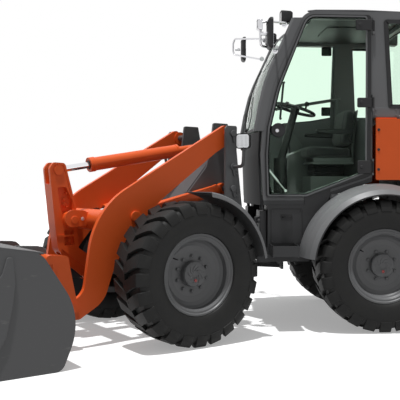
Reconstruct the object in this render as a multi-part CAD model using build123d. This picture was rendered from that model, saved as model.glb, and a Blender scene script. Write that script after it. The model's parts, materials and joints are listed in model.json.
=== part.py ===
from build123d import *
import os
from math import cos, radians, sin

# Compact articulated wheel loader. Millimetres. The working frame has its origin on the ground
# under the steering pivot, +X forward, +Y left, +Z up. The rear half lies square in that frame.
# The front half is drawn straight ahead and then turned left about the steering pivot.

# ---- overall sizes -------------------------------------------------------------------------
WHEELBASE = 2050.0
TRACK = 1380.0
STEER_REST = 30.7            # how far the front half stands turned to the left, degrees
BUCKET_WIDTH = 1800.0
CAB_WIDTH = 1220.0
ROOF_TOP = 2583.0
REAR_END = -2200.0

# ---- wheels --------------------------------------------------------------------------------
TYRE_R = 525.0
TYRE_HALF = 200.0            # half of the widest section
RIM_HALF = 160.0
RIM_R = 295.0
BEAD_R = 256.0
AXLE_Z = TYRE_R
AXLE_SEAT = AXLE_Z + 95       # underside of both frames where the axles bolt up
HUB_R = 94.0
STUB_R = 40.0
RUNNING_GAP = 0.05           # radial clearance of a pin or shaft in its bore
HALF_TRACK = TRACK / 2
HALF_BASE = WHEELBASE / 2

# ---- pins of the loader arms, in the front half's own (x, z) --------------------------------
BOOM_PIN = (445.0, 1577.0)
LAMP_PIN = (445.0, 1311.0)
LIFT_BASE_PIN = (445.0, 1136.0)
LIFT_EYE_PIN = (1300.0, 935.0)
TILT_BASE_PIN = (436.0, 1489.0)
ROCKER_PIN = (1668.0, 907.0)
ROCKER_TOP_PIN = (1758.0, 1277.0)
ROCKER_LOW_PIN = (1450.0, 492.0)
LINK_PIN = (1838.0, 502.0)
TIP_PIN = (1838.0, 298.0)
PIN_R = 25.0
TIP_PIN_R = 35.0
TIP_BUSH_R = 62.0            # bushing pressed onto each tip pin, which turns in the arm
ARM_Y = (360.0, 400.0)       # inner and outer face of each boom arm
TOWER_OUT = (430.0, 450.0)
TOWER_IN = (215.0, 235.0)

# ---- cab levels -----------------------------------------------------------------------------
HALF_CAB = CAB_WIDTH / 2
FLOOR_Z = 1040.0
FLOOR_UNDER = 1003.0
RAMP_FRONT = -444.0          # the cab floor rises from here to the back wall
BACK_X = -985.0
RAMP_TOP_Z = 1228.0
SHELF_Z = 1711.0
CAB_BACK = -1330.0

# ---- centre joint --------------------------------------------------------------------------
OSC_Z = 600.0
OSC_R = 60.0
STEER_PIN_R = 35.0
STEER_REAR = (-620.0, 200.0)     # steering cylinder base on the rear frame (x, y)
STEER_FRONT = (60.0, 250.0)      # steering cylinder eye on the knuckle's lever, in the front half's frame
STEER_Z = 620.0
LEVER_Z = ((560.0, 575.0), (665.0, 680.0))


def outline(*points):
    """Closed face from (x, z) or (x, z, corner radius) points, joined by lines and arcs."""
    count = len(points)
    starts, ends, edges = [], [], []
    for i, p in enumerate(points):
        here = Vector(p[0], p[1])
        r = p[2] if len(p) > 2 else 0
        if not r:
            starts.append(here)
            ends.append(here)
            continue
        before = points[i - 1]
        after = points[(i + 1) % count]
        u = (Vector(before[0], before[1]) - here).normalized()
        v = (Vector(after[0], after[1]) - here).normalized()
        half = u.get_angle(v) / 2
        reach = r / abs(sin(radians(half)) / cos(radians(half)))
        mid = (u + v).normalized()
        centre = here + mid * (r / sin(radians(half)))
        starts.append(here + u * reach)
        ends.append(here + v * reach)
        edges.append(ThreePointArc(starts[-1], centre - mid * r, ends[-1]))
    for i in range(count):
        a, b = ends[i], starts[(i + 1) % count]
        if (b - a).length > 1e-6:
            edges.append(Line(a, b))
    return make_face(edges)


def plate(face, y0, y1):
    """A face drawn in (x, z), as a plate from y0 to y1."""
    return extrude(Plane((0, max(y0, y1), 0), x_dir=(1, 0, 0), z_dir=(0, -1, 0)) * face, abs(y1 - y0))


def slab(face, z0, z1):
    """A face drawn in (x, y), as a slab from z0 to z1."""
    return extrude(Pos(0, 0, z0) * face, z1 - z0)


def block(x0, x1, y0, y1, z0, z1):
    """A box between two corners."""
    return Pos((x0 + x1) / 2, (y0 + y1) / 2, (z0 + z1) / 2) * Box(abs(x1 - x0), abs(y1 - y0), abs(z1 - z0))


def rod_between(a, b, r):
    """A round bar from point a to point b."""
    a, b = Vector(*a), Vector(*b)
    return extrude(Plane(a, z_dir=b - a) * Circle(r), (b - a).length)


def cross_pin(pin, r, y0, y1):
    """A round bar across the machine at an (x, z) pin."""
    return rod_between((pin[0], y0, pin[1]), (pin[0], y1, pin[1]), r)


def tube_path(points, r, bend):
    """A bent round tube through the points."""
    path = FilletPolyline(*points, radius=bend)
    return sweep(Plane(origin=path @ 0, z_dir=path % 0) * Circle(r), path=path)


def both_sides(shape):
    """The shape and its mirror image across the machine's middle plane."""
    return shape + mirror(shape, about=Plane.XZ)


def turned(profile, y, z, x, side, arc=360, start=0):
    """Revolve (outboard, radius) points about a cross axis at (x, z), outboard to the side."""
    face = make_face(Polyline(*[(r, side * s) for s, r in profile], close=True))
    ring = revolve(face, Axis.Y, arc)
    return Pos(x, y, z) * Rot(0, -start, 0) * ring


def fuse(*shapes):
    """One solid body out of several that touch or overlap."""
    total = shapes[0]
    for s in shapes[1:]:
        total = total + s
    return total


def ramp_top(x):
    """Height of the cab's sloping rear floor at x."""
    return FLOOR_Z + (RAMP_FRONT - x) * (RAMP_TOP_Z - FLOOR_Z) / (RAMP_FRONT - BACK_X)


def ramp_under(x):
    """Height of the sloping floor's underside at x."""
    return ramp_top(x) - (FLOOR_Z - FLOOR_UNDER)


nodes = {}
front_nodes = set()


def add(name, shape, front=False):
    """Name a finished piece, and note whether it belongs to the front half."""
    nodes[name] = shape
    if front:
        front_nodes.add(name)


# ---- wheels: a pressed steel rim on a planetary hub, with a tubeless tyre -------------------
DISC = 38.0
rim_profile = [
    (-RIM_HALF, RIM_R), (-RIM_HALF + 12, RIM_R), (-RIM_HALF + 12, BEAD_R), (RIM_HALF - 12, BEAD_R),
    (RIM_HALF - 12, RIM_R), (RIM_HALF, RIM_R), (RIM_HALF, RIM_R - 13), (RIM_HALF - 8, RIM_R - 19),
    (RIM_HALF - 8, BEAD_R + 6), (RIM_HALF - 20, BEAD_R - 7), (DISC + 62, BEAD_R - 12), (DISC + 42, 228),
    (DISC + 24, 205), (DISC + 14, 165), (DISC + 14, HUB_R), (95, HUB_R), (102, HUB_R - 8), (102, 0), (0, 0),
    (0, STUB_R + RUNNING_GAP), (-60, STUB_R + RUNNING_GAP), (-60, 110), (DISC, 110), (DISC, 165),
    (DISC + 22, BEAD_R - 10), (-RIM_HALF + 2, BEAD_R - 10),
]
BEAD_GAP = 0.3
tyre_profile = [
    (147.7, BEAD_R + BEAD_GAP), (147.7, RIM_R + BEAD_GAP), (165, RIM_R + 5), (190, 340), (TYRE_HALF, 395),
    (198, 440), (188, 488), (165, 519), (90, TYRE_R), (-90, TYRE_R), (-165, 519), (-188, 488), (-198, 440),
    (-TYRE_HALF, 395), (-190, 340), (-165, RIM_R + 5), (-147.7, RIM_R + BEAD_GAP),
    (-147.7, BEAD_R + BEAD_GAP), (-118, BEAD_R + BEAD_GAP), (-125, 310), (-160, 350), (-165, 400),
                (-150, 480),
    (0, 484), (150, 480), (165, 400), (160, 350), (125, 310), (118, BEAD_R + BEAD_GAP),
]
WHEELS = [  # name, axle x, side, on the front half
    ("front_left", HALF_BASE, 1, True),
    ("front_right", HALF_BASE, -1, True),
    ("rear_left", -HALF_BASE, 1, False),
    ("rear_right", -HALF_BASE, -1, False),
]
for name, x, side, front in WHEELS:
    add("rim_" + name, turned(rim_profile, side * HALF_TRACK, AXLE_Z, x, side), front)
    add("tyre_" + name, turned(tyre_profile, side * HALF_TRACK, AXLE_Z, x, side), front)


# ---- axles: cast centre with two tapered arms and planetary housings ------------------------
def axle(x, pad_in, pad_out):
    """Drive axle at x, with mounting pads between two distances from the middle, and wheel stubs."""
    half = turned([(0, 0), (0, 150), (70, 150), (130, 95), (300, 75), (440, 75), (470, 130), (624, 130),
                   (624, STUB_R), (688, STUB_R), (688, 0)], 0, AXLE_Z, x, 1)
    pads = both_sides(block(x - 70, x + 70, pad_in, pad_out, AXLE_Z, AXLE_SEAT))
    return both_sides(half) + pads


add("rear_axle", axle(-HALF_BASE, 300, 375))
add("front_axle", axle(HALF_BASE, 205, 300), True)

# ---- rear frame: two long side plates, a front joint housing and cross plates ---------------
SIDE_Y = (345.0, 370.0)
side_plate = outline((-147, 800), (-147, 530, 20), (325 - HALF_BASE, 530, 40),
                     (235 - HALF_BASE, AXLE_SEAT, 40),
                     (-2050, AXLE_SEAT, 30), (-2050, 980, 30), (-1180, 980, 40), (-1080, 880, 40),
                     (-560, 880, 30), (-500, 800, 30))
frame_sides = both_sides(plate(side_plate, *SIDE_Y))
top_plate = block(-600, -280, -345, 345, 775, 800)
low_plate = block(-560, -280, -345, 345, 530, 550)
rear_plate = block(-2050, -2025, -345, 345, AXLE_SEAT, 980)
axle_plate = block(-1180, -870, -345, 345, 700, 725)
engine_bars = block(-1880, -1840, -345, 345, 675, 700) + block(-1360, -1320, -345, 345, 675, 700)
fender_posts = both_sides(block(-1260, -1200, *SIDE_Y, 975, 1100))
cab_posts = both_sides(plate(outline((-920, 860), (-860, 860), (-860, ramp_under(-860)),
                                     (-920, ramp_under(-920))),
                             *SIDE_Y))
ear = outline((0, 90, 60), (75, 90, 70), (75, -90, 70), (0, -90, 60), (-300, -235), (-300, 235))
ears = slab(ear, OSC_Z + 120, OSC_Z + 148) + slab(ear, OSC_Z - 148, OSC_Z - 120)
joint_wall = block(-300, -280, -345, 345, 452, 800) - both_sides(block(-310, -270, 130, 275, 572, 690))
rear_frame = fuse(frame_sides, top_plate, low_plate, rear_plate, axle_plate, engine_bars, fender_posts,
                  cab_posts,
                  ears, joint_wall, rod_between((0, 0, OSC_Z - 152), (0, 0, OSC_Z + 152), STEER_PIN_R))
lug = outline((-665, 346), (-665, 168, 30), (-575, 168, 30), (-575, 346))
for z0, z1 in LEVER_Z:
    rear_frame = rear_frame + both_sides(slab(lug, z0, z1))
pin_x, pin_y = STEER_REAR
rear_frame = rear_frame + both_sides(rod_between((pin_x, pin_y, 555), (pin_x, pin_y, 685), 16))
add("rear_frame", rear_frame)

# ---- body boxes and steps under the cab doors ----------------------------------------------
BOX_OUT = 618.0
BOX_REAR = -HALF_BASE + TYRE_R + 68
body_box = block(BOX_REAR, -129, SIDE_Y[1], BOX_OUT, 572, FLOOR_UNDER)
body_box = body_box - block(BOX_REAR - 8, -120, SIDE_Y[1] - 5, 460, 565, 640)
STEP_REAR = BOX_REAR + 82
step = fuse(block(STEP_REAR, -142, BOX_OUT, 835, 640, 646),
            block(STEP_REAR, STEP_REAR + 8, BOX_OUT, 835, 600, 690),
            block(-150, -142, BOX_OUT, 835, 600, 690), block(STEP_REAR, -142, 829, 835, 605, 690))
add("body_boxes", both_sides(body_box + step))

# ---- rear fenders: pressed crown with a rolled outer lip ------------------------------------
SHEET = 6.0
fender_profile = [(-72, 650), (25, 650), (110, 632), (170, 606), (207, 568), (201, 566), (165, 600),
                  (107, 626),
                  (24, 644), (-72, 644)]


def fender(x, side, start, arc, profile):
    """Sheet fender over a wheel, from a start angle (0 = forward, turning up and back)."""
    return turned(profile, side * HALF_TRACK, AXLE_Z, x, side, arc, start + arc)


fender_arm = block(-1260, -1200, SIDE_Y[1], BOX_OUT, 1078, 1098) + block(-1260, -1200, 606, BOX_OUT, 1078,
                                                                         1150)
add("rear_fenders", both_sides(fender(-HALF_BASE, 1, 6, 122, fender_profile) + fender_arm))

# ---- engine, counterweight and covers ------------------------------------------------------
add("engine", block(-1900, -1300, -270, 270, 700, 1330))
weight_shape = outline((REAR_END, 560, 60), (-2050, 480, 30), (-2050, 1080), (REAR_END, 1080))
HITCH_X = REAR_END - 42
HITCH_R = 16.1
jaw = outline((REAR_END + 20, 60), (HITCH_X - 10, 42, 30), (HITCH_X - 34, 0, 24), (HITCH_X - 10, -42, 30),
              (REAR_END + 20, -60))
weight = fuse(plate(weight_shape, -660, 660), slab(jaw, 640, 665), slab(jaw, 735, 760))
add("counterweight", weight - rod_between((HITCH_X, 0, 600), (HITCH_X, 0, 800), HITCH_R))

PANEL_Y = (636.0, 660.0)
HOOD_FRONT = -1352.0
panel = plate(outline((-1004, 1205, 8), (-1198, 1205), (-1460, 1060), (-1520, 1010), (-2050, 1010),
                      (-2050, 1080),
                      (REAR_END, 1080), (REAR_END, 1400, 90), (-2090, 1520, 120), (-1500, 1640, 80),
                      (-1190, 1700, 10), (-1004, 1700, 8)), *PANEL_Y)
bracket = block(-1180, -1010, 575, 637, 1690, SHELF_Z)
cowl = plate(outline((-1190, 1700), (HOOD_FRONT + 5, 1667), (HOOD_FRONT + 5, 1655), (-1190, 1688)), -637,
             637)
add("engine_side_panels", fuse(both_sides(panel + bracket), cowl))

HOOD_HINGE = (HOOD_FRONT, 1669.0)
hood_out = outline((HOOD_FRONT, 1668), (-1500, 1640, 80), (-2090, 1520, 120), (REAR_END, 1400, 90),
                   (REAR_END, 1086), (REAR_END + 16, 1086), (REAR_END + 16, 1396, 76), (-2096, 1503, 104),
                   (-1503, 1624, 64), (HOOD_FRONT, 1652))
hood = plate(hood_out, -630, 630)
for z in range(1130, 1380, 44):
    hood = hood - block(REAR_END - 5, REAR_END + 20, -420, 420, z, z + 22)
add("engine_hood", hood)

# ---- cab ------------------------------------------------------------------------------------
CAB_TOP = 2566.0
side_face = outline((-92, FLOOR_Z), (-72, 1408), (-88, 1640, 400), (-165, 2000, 700), (-425, CAB_TOP, 150),
                    (CAB_BACK, CAB_TOP, 30), (CAB_BACK, SHELF_Z), (BACK_X, SHELF_Z), (BACK_X, RAMP_TOP_Z),
                    (RAMP_FRONT, FLOOR_Z))
door_hole = outline((-141, 1098, 20), (-132, 1408), (-147, 1620, 400), (-222, 1945, 700), (-452, 2502, 90),
                    (-944, 2502, 30), (-944, 1284, 30), (-440, 1098, 40))
rear_hole = outline((-1136, 1800, 25), (-1290, 1800, 25), (-1290, 2490, 30), (-1094, 2490, 25))
cab_side = plate(side_face, HALF_CAB - 50, HALF_CAB) - plate(door_hole, HALF_CAB - 51, HALF_CAB + 1)
cab_side = cab_side - plate(rear_hole, HALF_CAB - 51, HALF_CAB + 1)
inside = HALF_CAB - 50
header = plate(outline((-392, 2470), (-455, 2545), (-520, 2545), (-470, 2470)), -inside, inside)
sill = plate(outline((-95, 1560), (-98, 1604), (-136, 1604), (-130, 1560)), -inside, inside)
back_header = block(CAB_BACK, CAB_BACK + 45, -inside, inside, 2490, 2545)
back_sill = block(CAB_BACK, CAB_BACK + 45, -inside, inside, SHELF_Z, 1780)
shelf = block(CAB_BACK + 45, BACK_X, -inside, inside, SHELF_Z, SHELF_Z + 12)
back_wall = block(BACK_X, BACK_X + 12, -inside, inside, RAMP_TOP_Z + 0.3, SHELF_Z + 12)
right_wall = plate(outline((-150, 1100, 20), (-160, 1640), (-457, 1749), (-719, 1773), (-980, 1818),
                           (-980, 1290),
                           (-440, 1100, 40)), -HALF_CAB + 8, -HALF_CAB + 14)
right_post = plate(outline((-900, 1700), (-930, 2520), (-1120, 2520), (-1150, 1850), (-1150, 1780),
                           (-1000, 1780)),
                   -HALF_CAB + 8, -HALF_CAB + 30)
cab_frame = fuse(both_sides(cab_side), header, sill, back_header, back_sill, shelf, back_wall, right_wall,
                 right_post)
DOOR_Y = HALF_CAB + 5
DOOR_HINGE = (-985.0, DOOR_Y + 20.0)
HINGE_HEIGHTS = (1310, 1830, 2448)
for z in HINGE_HEIGHTS:
    for low in (z - 66, z + 46):
        cab_frame = cab_frame + rod_between((*DOOR_HINGE, low), (*DOOR_HINGE, low + 20), 9)
        cab_frame = cab_frame + block(-993, -980, HALF_CAB - 5, DOOR_HINGE[1], low, low + 20)
add("cab_frame", cab_frame)

NOSE_HALF = inside - 1
floor_front = ThreePointArc((-88.3, -NOSE_HALF), (-26.3, 0), (-88.3, NOSE_HALF))
floor_plan = make_face([floor_front, Line((-88.3, NOSE_HALF), (RAMP_FRONT, NOSE_HALF)),
                        Line((RAMP_FRONT, NOSE_HALF), (RAMP_FRONT, -NOSE_HALF)),
                        Line((RAMP_FRONT, -NOSE_HALF), (-88.3, -NOSE_HALF))])
floor = slab(floor_plan, FLOOR_UNDER, FLOOR_Z)
floor_wings = both_sides(block(-96, RAMP_FRONT, NOSE_HALF - 5, HALF_CAB, FLOOR_UNDER, FLOOR_Z))
ramp = plate(outline((RAMP_FRONT + 1, FLOOR_Z), (RAMP_FRONT, FLOOR_Z), (BACK_X, RAMP_TOP_Z),
                     (BACK_X, ramp_under(BACK_X)),
                     (RAMP_FRONT, FLOOR_UNDER), (RAMP_FRONT + 1, FLOOR_UNDER)), -HALF_CAB, HALF_CAB)
add("cab_floor", fuse(floor, floor_wings, ramp))


def bowed_ring(z, edge_x, bow, half, thick):
    """Plan section of a panel bowed forward: two arcs across the cab."""
    outer = ThreePointArc((edge_x, -half, z), (edge_x + bow, 0, z), (edge_x, half, z))
    inner = ThreePointArc((edge_x - thick, -half, z), (edge_x + bow - thick, 0, z),
                          (edge_x - thick, half, z))
    return make_face([outer, inner, Line(outer @ 0, inner @ 0), Line(outer @ 1, inner @ 1)])


nose = loft([bowed_ring(FLOOR_UNDER, -72, 62, NOSE_HALF, 16), bowed_ring(FLOOR_Z, -72, 62, NOSE_HALF, 16),
             bowed_ring(1408, -56, 58, NOSE_HALF, 16), bowed_ring(1598, -68, 58, NOSE_HALF, 16)],
            ruled=True)
ledge_front = ThreePointArc((-80, -NOSE_HALF), (-20, 0), (-80, NOSE_HALF))
ledge = make_face([ledge_front, Line((-80, NOSE_HALF), (-89, NOSE_HALF)),
                   Line((-89, NOSE_HALF), (-89, -NOSE_HALF)),
                   Line((-89, -NOSE_HALF), (-80, -NOSE_HALF))])
add("cab_nose", nose + slab(ledge, 1590, 1600))
WINDSHIELD = [  # rings of the bowed pane: height, edge x, bow
    (1606, -74, 62), (1820, -112, 62), (2000, -158, 64), (2120, -204, 66), (2300, -289, 64),
              (2440, -353, 60),
]
windshield = loft([bowed_ring(z, x, bow, HALF_CAB - 4, 6) for z, x, bow in WINDSHIELD], ruled=True)
right_glass = plate(outline((-112, 1640, 20), (-142, 1860, 300), (-212, 1990, 500), (-452, 2530, 90),
                            (-975, 2530, 25), (-975, 1800, 25), (-719, 1755), (-457, 1731)),
                    -HALF_CAB - 7, -HALF_CAB)
quarter = plate(outline((-1118, 1785, 25), (-1305, 1785, 25), (-1305, 2505, 30), (-1074, 2505, 25)),
                HALF_CAB, HALF_CAB + 6)
back_glass = block(CAB_BACK - 7, CAB_BACK, -inside - 20, inside + 20, 1735, 2520)
add("cab_glass", Compound([*windshield.solids(), *right_glass.solids(), *both_sides(quarter).solids(),
                           *back_glass.solids()]))

roof_side = outline((-470, 2547), (-480, 2562), (-610, 2575), (-817, ROOF_TOP), (-1050, ROOF_TOP),
                    (-1250, 2576), (-1420, 2556), (-1420, 2530), (CAB_BACK - 1, 2530), (CAB_BACK - 1, 2547))
BEACON = (-1350.0, -420.0)
BEACON_R = 11.0
roof = plate(roof_side, -inside + 1, inside - 1)
roof = fuse(roof, rod_between((*BEACON, 2550), (*BEACON, 2590), 26),
            rod_between((*BEACON, 2550), (*BEACON, 2626), BEACON_R))
add("cab_roof", roof)

# ---- left cab door ---------------------------------------------------------------------------
door_out = outline((-114, 1066, 20), (-104, 1408), (-119, 1625, 400), (-196, 1950, 700), (-438, 2534, 110),
                   (-965, 2534, 30), (-965, 1236, 30), (-440, 1066, 40))
door_in = outline((-145, 1094, 20), (-136, 1408), (-151, 1620, 400), (-226, 1940, 700), (-452, 2504, 90),
                  (-938, 2504, 30), (-938, 1284, 30), (-440, 1094, 40))
door_frame = plate(door_out, DOOR_Y, DOOR_Y + 22) - plate(door_in, DOOR_Y - 1, DOOR_Y + 23)
for z in HINGE_HEIGHTS:
    knuckle = rod_between((*DOOR_HINGE, z - 40), (*DOOR_HINGE, z + 40), 9)
    leaf = block(DOOR_HINGE[0] + 4, -940, DOOR_Y + 16, DOOR_Y + 22, z - 30, z + 30)
    door_frame = fuse(door_frame, knuckle, leaf)
LOCK = (-208.0, 1603.0)
LOCK_R = 52.0
lock_lug = plate(outline((-120, 1570), (-120, 1636), (-208, 1640), (-208, 1566)), DOOR_Y + 4, DOOR_Y + 18)
door_frame = fuse(door_frame, lock_lug, cross_pin(LOCK, LOCK_R, DOOR_Y + 4, DOOR_Y + 44))
add("door_frame", door_frame)
door_glass = plate(outline((-122, 1074, 20), (-112, 1408), (-127, 1624, 400), (-204, 1948, 700),
                           (-441, 2526, 100),
                           (-932, 2526, 25), (-932, 1264, 25), (-440, 1074, 40)),
                   DOOR_Y + 22, DOOR_Y + 27)
door_glass = door_glass - cross_pin(LOCK, LOCK_R + 1, DOOR_Y, DOOR_Y + 60)
add("door_glass", door_glass)

# ---- operator's place --------------------------------------------------------------------------
foot = plate(outline((-900, ramp_top(-900)), (-560, ramp_top(-560)), (-560, 1240), (-900, 1240)), -190, 190)
console = plate(outline((-960, ramp_top(-960)), (RAMP_FRONT, FLOOR_Z), (-420, FLOOR_Z), (-420, 1440, 30),
                        (-640, 1520, 40), (-960, 1520, 20)), 110 - HALF_CAB, -270)
seat_base = fuse(foot, block(-870, -600, -150, 150, 1240, 1340), block(-936, -570, -210, 210, 1340, 1400),
                 console,
                 block(-900, -600, -275, -205, 1350, 1390),
                 plate(outline((-937, 1340), (-925, 1340), (-925, 1500), (-997, 2040), (-1009, 2040),
                               (-937, 1500)),
                       -200, 200))
add("seat_base", seat_base)
cushion = plate(outline((-925, 1400), (-540, 1400, 20), (-520, 1500, 45), (-925, 1480, 20)), -250, 250)
add("seat_cushion", cushion)
backrest = plate(outline((-925, 1500, 5), (-820, 1510, 30), (-890, 2050, 45), (-999.6, 2059.5, 45)), -240,
                 240)
add("seat_back", backrest)
WHEEL_C = (-457.0, 1832.0)
column = rod_between((-325, 0, FLOOR_Z), (-325, 0, 1400), 60) + rod_between((-330, 0, 1380),
                                                                            (-452, 0, 1815), 34)
wheel_plane = Plane((WHEEL_C[0], 0, WHEEL_C[1]), x_dir=(0, 1, 0), z_dir=(-0.289, 0, 0.957))
steering_wheel = wheel_plane * (Torus(175, 14) + Pos(0, 0, -8) * Cylinder(40, 30)
                                + Box(340, 24, 10) + Pos(0, -85, 0) * Box(24, 170, 10))
add("steering_column", fuse(column, steering_wheel))

# ---- roof lamps, mirrors ----------------------------------------------------------------------
ROOF_LAMPS = [  # back of the lamp body, its face, and where the arm meets the roof, all x
    (-300, -255, -450),
    (-1470, -1515, -1410),
]
lamps = []
for back, face, root in ROOF_LAMPS:
    lamp = rod_between((back, 450, 2543), (face, 450, 2543), 46) + rod_between((back, 450, 2534),
                                                                               (root, 450, 2534), 9)
    lamps.append(both_sides(lamp - header - nodes["cab_roof"]))
add("roof_lamps", Compound([s for lamp in lamps for s in lamp.solids()]))
near = tube_path([(-186, HALF_CAB, 2030), (-186, 668, 2030), (-118, 850, 2200), (-110, 850, 2330)], 8, 20)
near = near + block(-128, -92, 770, 930, 2210, 2447)
far = tube_path([(-368, -HALF_CAB, 2400), (-368, -668, 2400), (-110, -880, 2500), (-84, -900, 2520)], 8, 20)
far = far + block(-104, -64, -980, -820, 2400, 2640)
add("mirrors", Compound([*near.solids(), *far.solids()]))

# ---- centre joint: oscillating knuckle that carries the steering pins --------------------------
knuckle = fuse(rod_between((0, 0, OSC_Z - 110), (0, 0, OSC_Z + 110), 68),
               rod_between((20, 0, OSC_Z), (100, 0, OSC_Z), 85),
               rod_between((100, 0, OSC_Z), (335, 0, OSC_Z), OSC_R))
lever = outline((90, 60), (92, 284, 30), (28, 284, 30), (10, 60), (10, -60), (28, -284, 30), (92, -284, 30),
                (90, -60))
for z0, z1 in LEVER_Z:
    knuckle = knuckle + slab(lever, z0, z1)
for side in (1, -1):
    for z0 in (552, 680):
        knuckle = knuckle + rod_between((STEER_FRONT[0], side * STEER_FRONT[1], z0),
                                        (STEER_FRONT[0], side * STEER_FRONT[1], z0 + 8), 22)
knuckle = knuckle - rod_between((0, 0, OSC_Z - 120), (0, 0, OSC_Z + 120), STEER_PIN_R + RUNNING_GAP)
add("centre_knuckle", knuckle, True)

# ---- front frame ---------------------------------------------------------------------------------
FRONT_END = HALF_BASE + 205
front_side = outline((270, 440), (HALF_BASE - 465, 440, 60), (HALF_BASE - 205, AXLE_SEAT, 40),
                     (FRONT_END, AXLE_SEAT, 30), (FRONT_END, 760, 60), (HALF_BASE - 465, 860, 40),
                     (270, 860))
front_frame = fuse(both_sides(plate(front_side, 215, 240)), block(270, 295, -240, 240, 440, 860),
                   block(295, FRONT_END - 50, -215, 215, 720, 740),
                   rod_between((110, 0, OSC_Z), (345, 0, OSC_Z), 95),
                   block(150, 271, -18, 18, OSC_Z + 60, 860))
front_frame = front_frame - rod_between((90, 0, OSC_Z), (400, 0, OSC_Z), OSC_R + RUNNING_GAP)
add("front_frame", front_frame, True)

outer_face = outline((355, 870), (520, 870), (516, 1616), (496, 1638, 8), (405, 1638, 16), (409, 1445),
                     (389, 1268),
                     (355, 1001))
gusset_face = outline((300, 860.3), (300, 1400, 300), (309, 1497, 300), (344, 1672, 10), (484, 1674, 16),
                      (518, 1430, 120), (556, 1310, 60), (784, 1046), (945, 850), (945, 802.9),
                      (560, 860.3))
deck = outline((502, 1400), (510, 1402), (562, 1314), (790, 1051), (930, 878), (930, 866), (784, 1040),
               (554, 1306))
FLANGE = (300.0, 158.0)      # front edge and inner edge of the folded flanges behind the gussets
flange = plate(outline((FLANGE[0], 870), (FLANGE[0], 1200), (FLANGE[0] + 14, 1200), (FLANGE[0] + 14, 870)),
               FLANGE[1], TOWER_IN[0] + 1)
tower = fuse(both_sides(plate(outer_face, *TOWER_OUT)), both_sides(plate(gusset_face, *TOWER_IN)),
             both_sides(flange),
             plate(deck, -TOWER_IN[0] - 1, TOWER_IN[0] + 1),
             block(345, 560, -TOWER_OUT[1], TOWER_OUT[1], 860, 885), block(380, 400, -216, 216, 880, 1230))
for pin, r in ((BOOM_PIN, PIN_R), (LIFT_BASE_PIN, PIN_R)):
    tower = tower + both_sides(cross_pin(pin, r, 220, 458))
tower = tower + cross_pin(TILT_BASE_PIN, PIN_R, -220, 220)
tower = tower + both_sides(cross_pin(LAMP_PIN, 20, 425, 458))
add("tower", tower, True)

front_fender_profile = [(-190, 598), (188, 598), (205, 588), (210, 562), (205, 562), (200, 584), (186, 593),
                        (-190, 593)]
fender_stay = block(440, 520, TOWER_OUT[1], 520, 845, 885)
fender_set = fender(HALF_BASE, 1, 98, 73, front_fender_profile) + fender_stay
fender_set = fender_set + (fender(HALF_BASE, -1, 98, 73, front_fender_profile) + mirror(fender_stay,
                                                                                        about=Plane.XZ))
add("front_fenders", fender_set, True)

lamp_x, lamp_y, lamp_z = 450.0, 600.0, 1509.0
stalk = tube_path([(445, 458, LAMP_PIN[1]), (445, 585, LAMP_PIN[1]), (450, lamp_y, 1400),
                   (450, lamp_y, 1452)], 13, 22)
lamp = block(lamp_x - 45, lamp_x + 25, lamp_y - 60, lamp_y + 60, lamp_z - 60, lamp_z + 60)
add("headlamps", both_sides(stalk + fillet(lamp.edges().filter_by(Axis.X), 22)), True)

# ---- boom: two arms joined by a cross tube with the rocker's ears --------------------------------
arm_face = outline((410, 1590, 50), (480, 1650, 40), (1624, 993, 600), (1716, 372, 120), (1915, 330, 50),
                   (1915, 215, 55), (1746, 214, 40), (1556, 328, 200), (1459, 609, 600), (1128, 1018, 900),
                   (579, 1421, 300), (410, 1520, 50))
arm = plate(arm_face, *ARM_Y)
for pin, r in ((BOOM_PIN, 55), (TIP_PIN, 78)):
    arm = arm + cross_pin(pin, r, ARM_Y[0] - 8, ARM_Y[1] + 8)
arm = arm - cross_pin(BOOM_PIN, PIN_R + RUNNING_GAP, 300, 450)
arm = arm - cross_pin(TIP_PIN, TIP_BUSH_R + RUNNING_GAP, 300, 450)
arm = arm + cross_pin(LIFT_EYE_PIN, 38, ARM_Y[1], ARM_Y[1] + 8)
TUBE_C = (1495.0, 903.0)
boom = both_sides(arm) + cross_pin(TUBE_C, 80, -ARM_Y[0], ARM_Y[0])
ear_face = outline((1490, 960), (1640, 965, 30), (1728, 950, 40), (1728, 860, 40), (1640, 850, 30),
                   (1490, 845))
boom = boom + both_sides(plate(ear_face, 85, 120))
boom = boom - cross_pin(ROCKER_PIN, PIN_R + RUNNING_GAP, -130, 130)
add("boom", boom, True)

rocker_pin = cross_pin(ROCKER_PIN, PIN_R, -128, 128) + both_sides(cross_pin(ROCKER_PIN, 44, 120.5, 132))
add("rocker_pin", rocker_pin, True)
rocker_face = outline((1831, 1290, 40), (1791, 881, 60), (1764, 688, 60), (1676, 560, 40), (1530, 440, 40),
                      (1395, 436, 45), (1390, 545, 45), (1600, 690), (1622, 1000, 60), (1707, 1330, 30),
                      (1800, 1335, 30))
ROCKER_POCKETS = [  # hollows cast into both faces: how far in they reach, and their outline
    (18, [(1769, 1150, 12), (1700, 1150, 12), (1651, 1045, 30), (1646, 950, 8), (1729, 950, 12),
          (1749, 1008, 40)]),
    (18, [(1716, 828, 8), (1642, 824, 8), (1634, 716, 8), (1714, 712, 8)]),
    (50, [(1745, 700, 10), (1649, 617, 40), (1524, 528, 10), (1531, 476, 10), (1672, 560, 40),
          (1738, 646, 30)]),
]
rocker = plate(rocker_face, -60, 60)
for web, corners in ROCKER_POCKETS:
    rocker = rocker - both_sides(plate(outline(*corners), web, 61))
rocker = rocker + cross_pin(ROCKER_PIN, 62, -78, 78)
rocker = rocker - cross_pin(ROCKER_PIN, PIN_R + RUNNING_GAP, -100, 100)
rocker = rocker - block(1600, 1900, -36, 36, 1175, 1400)
rocker = rocker - block(1380, 1760, -36, 36, 400, 664)
rocker = rocker + both_sides(cross_pin(ROCKER_TOP_PIN, 36, 58, 68))
rocker = rocker + both_sides(cross_pin(ROCKER_LOW_PIN, 36, 58, 68))
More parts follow.
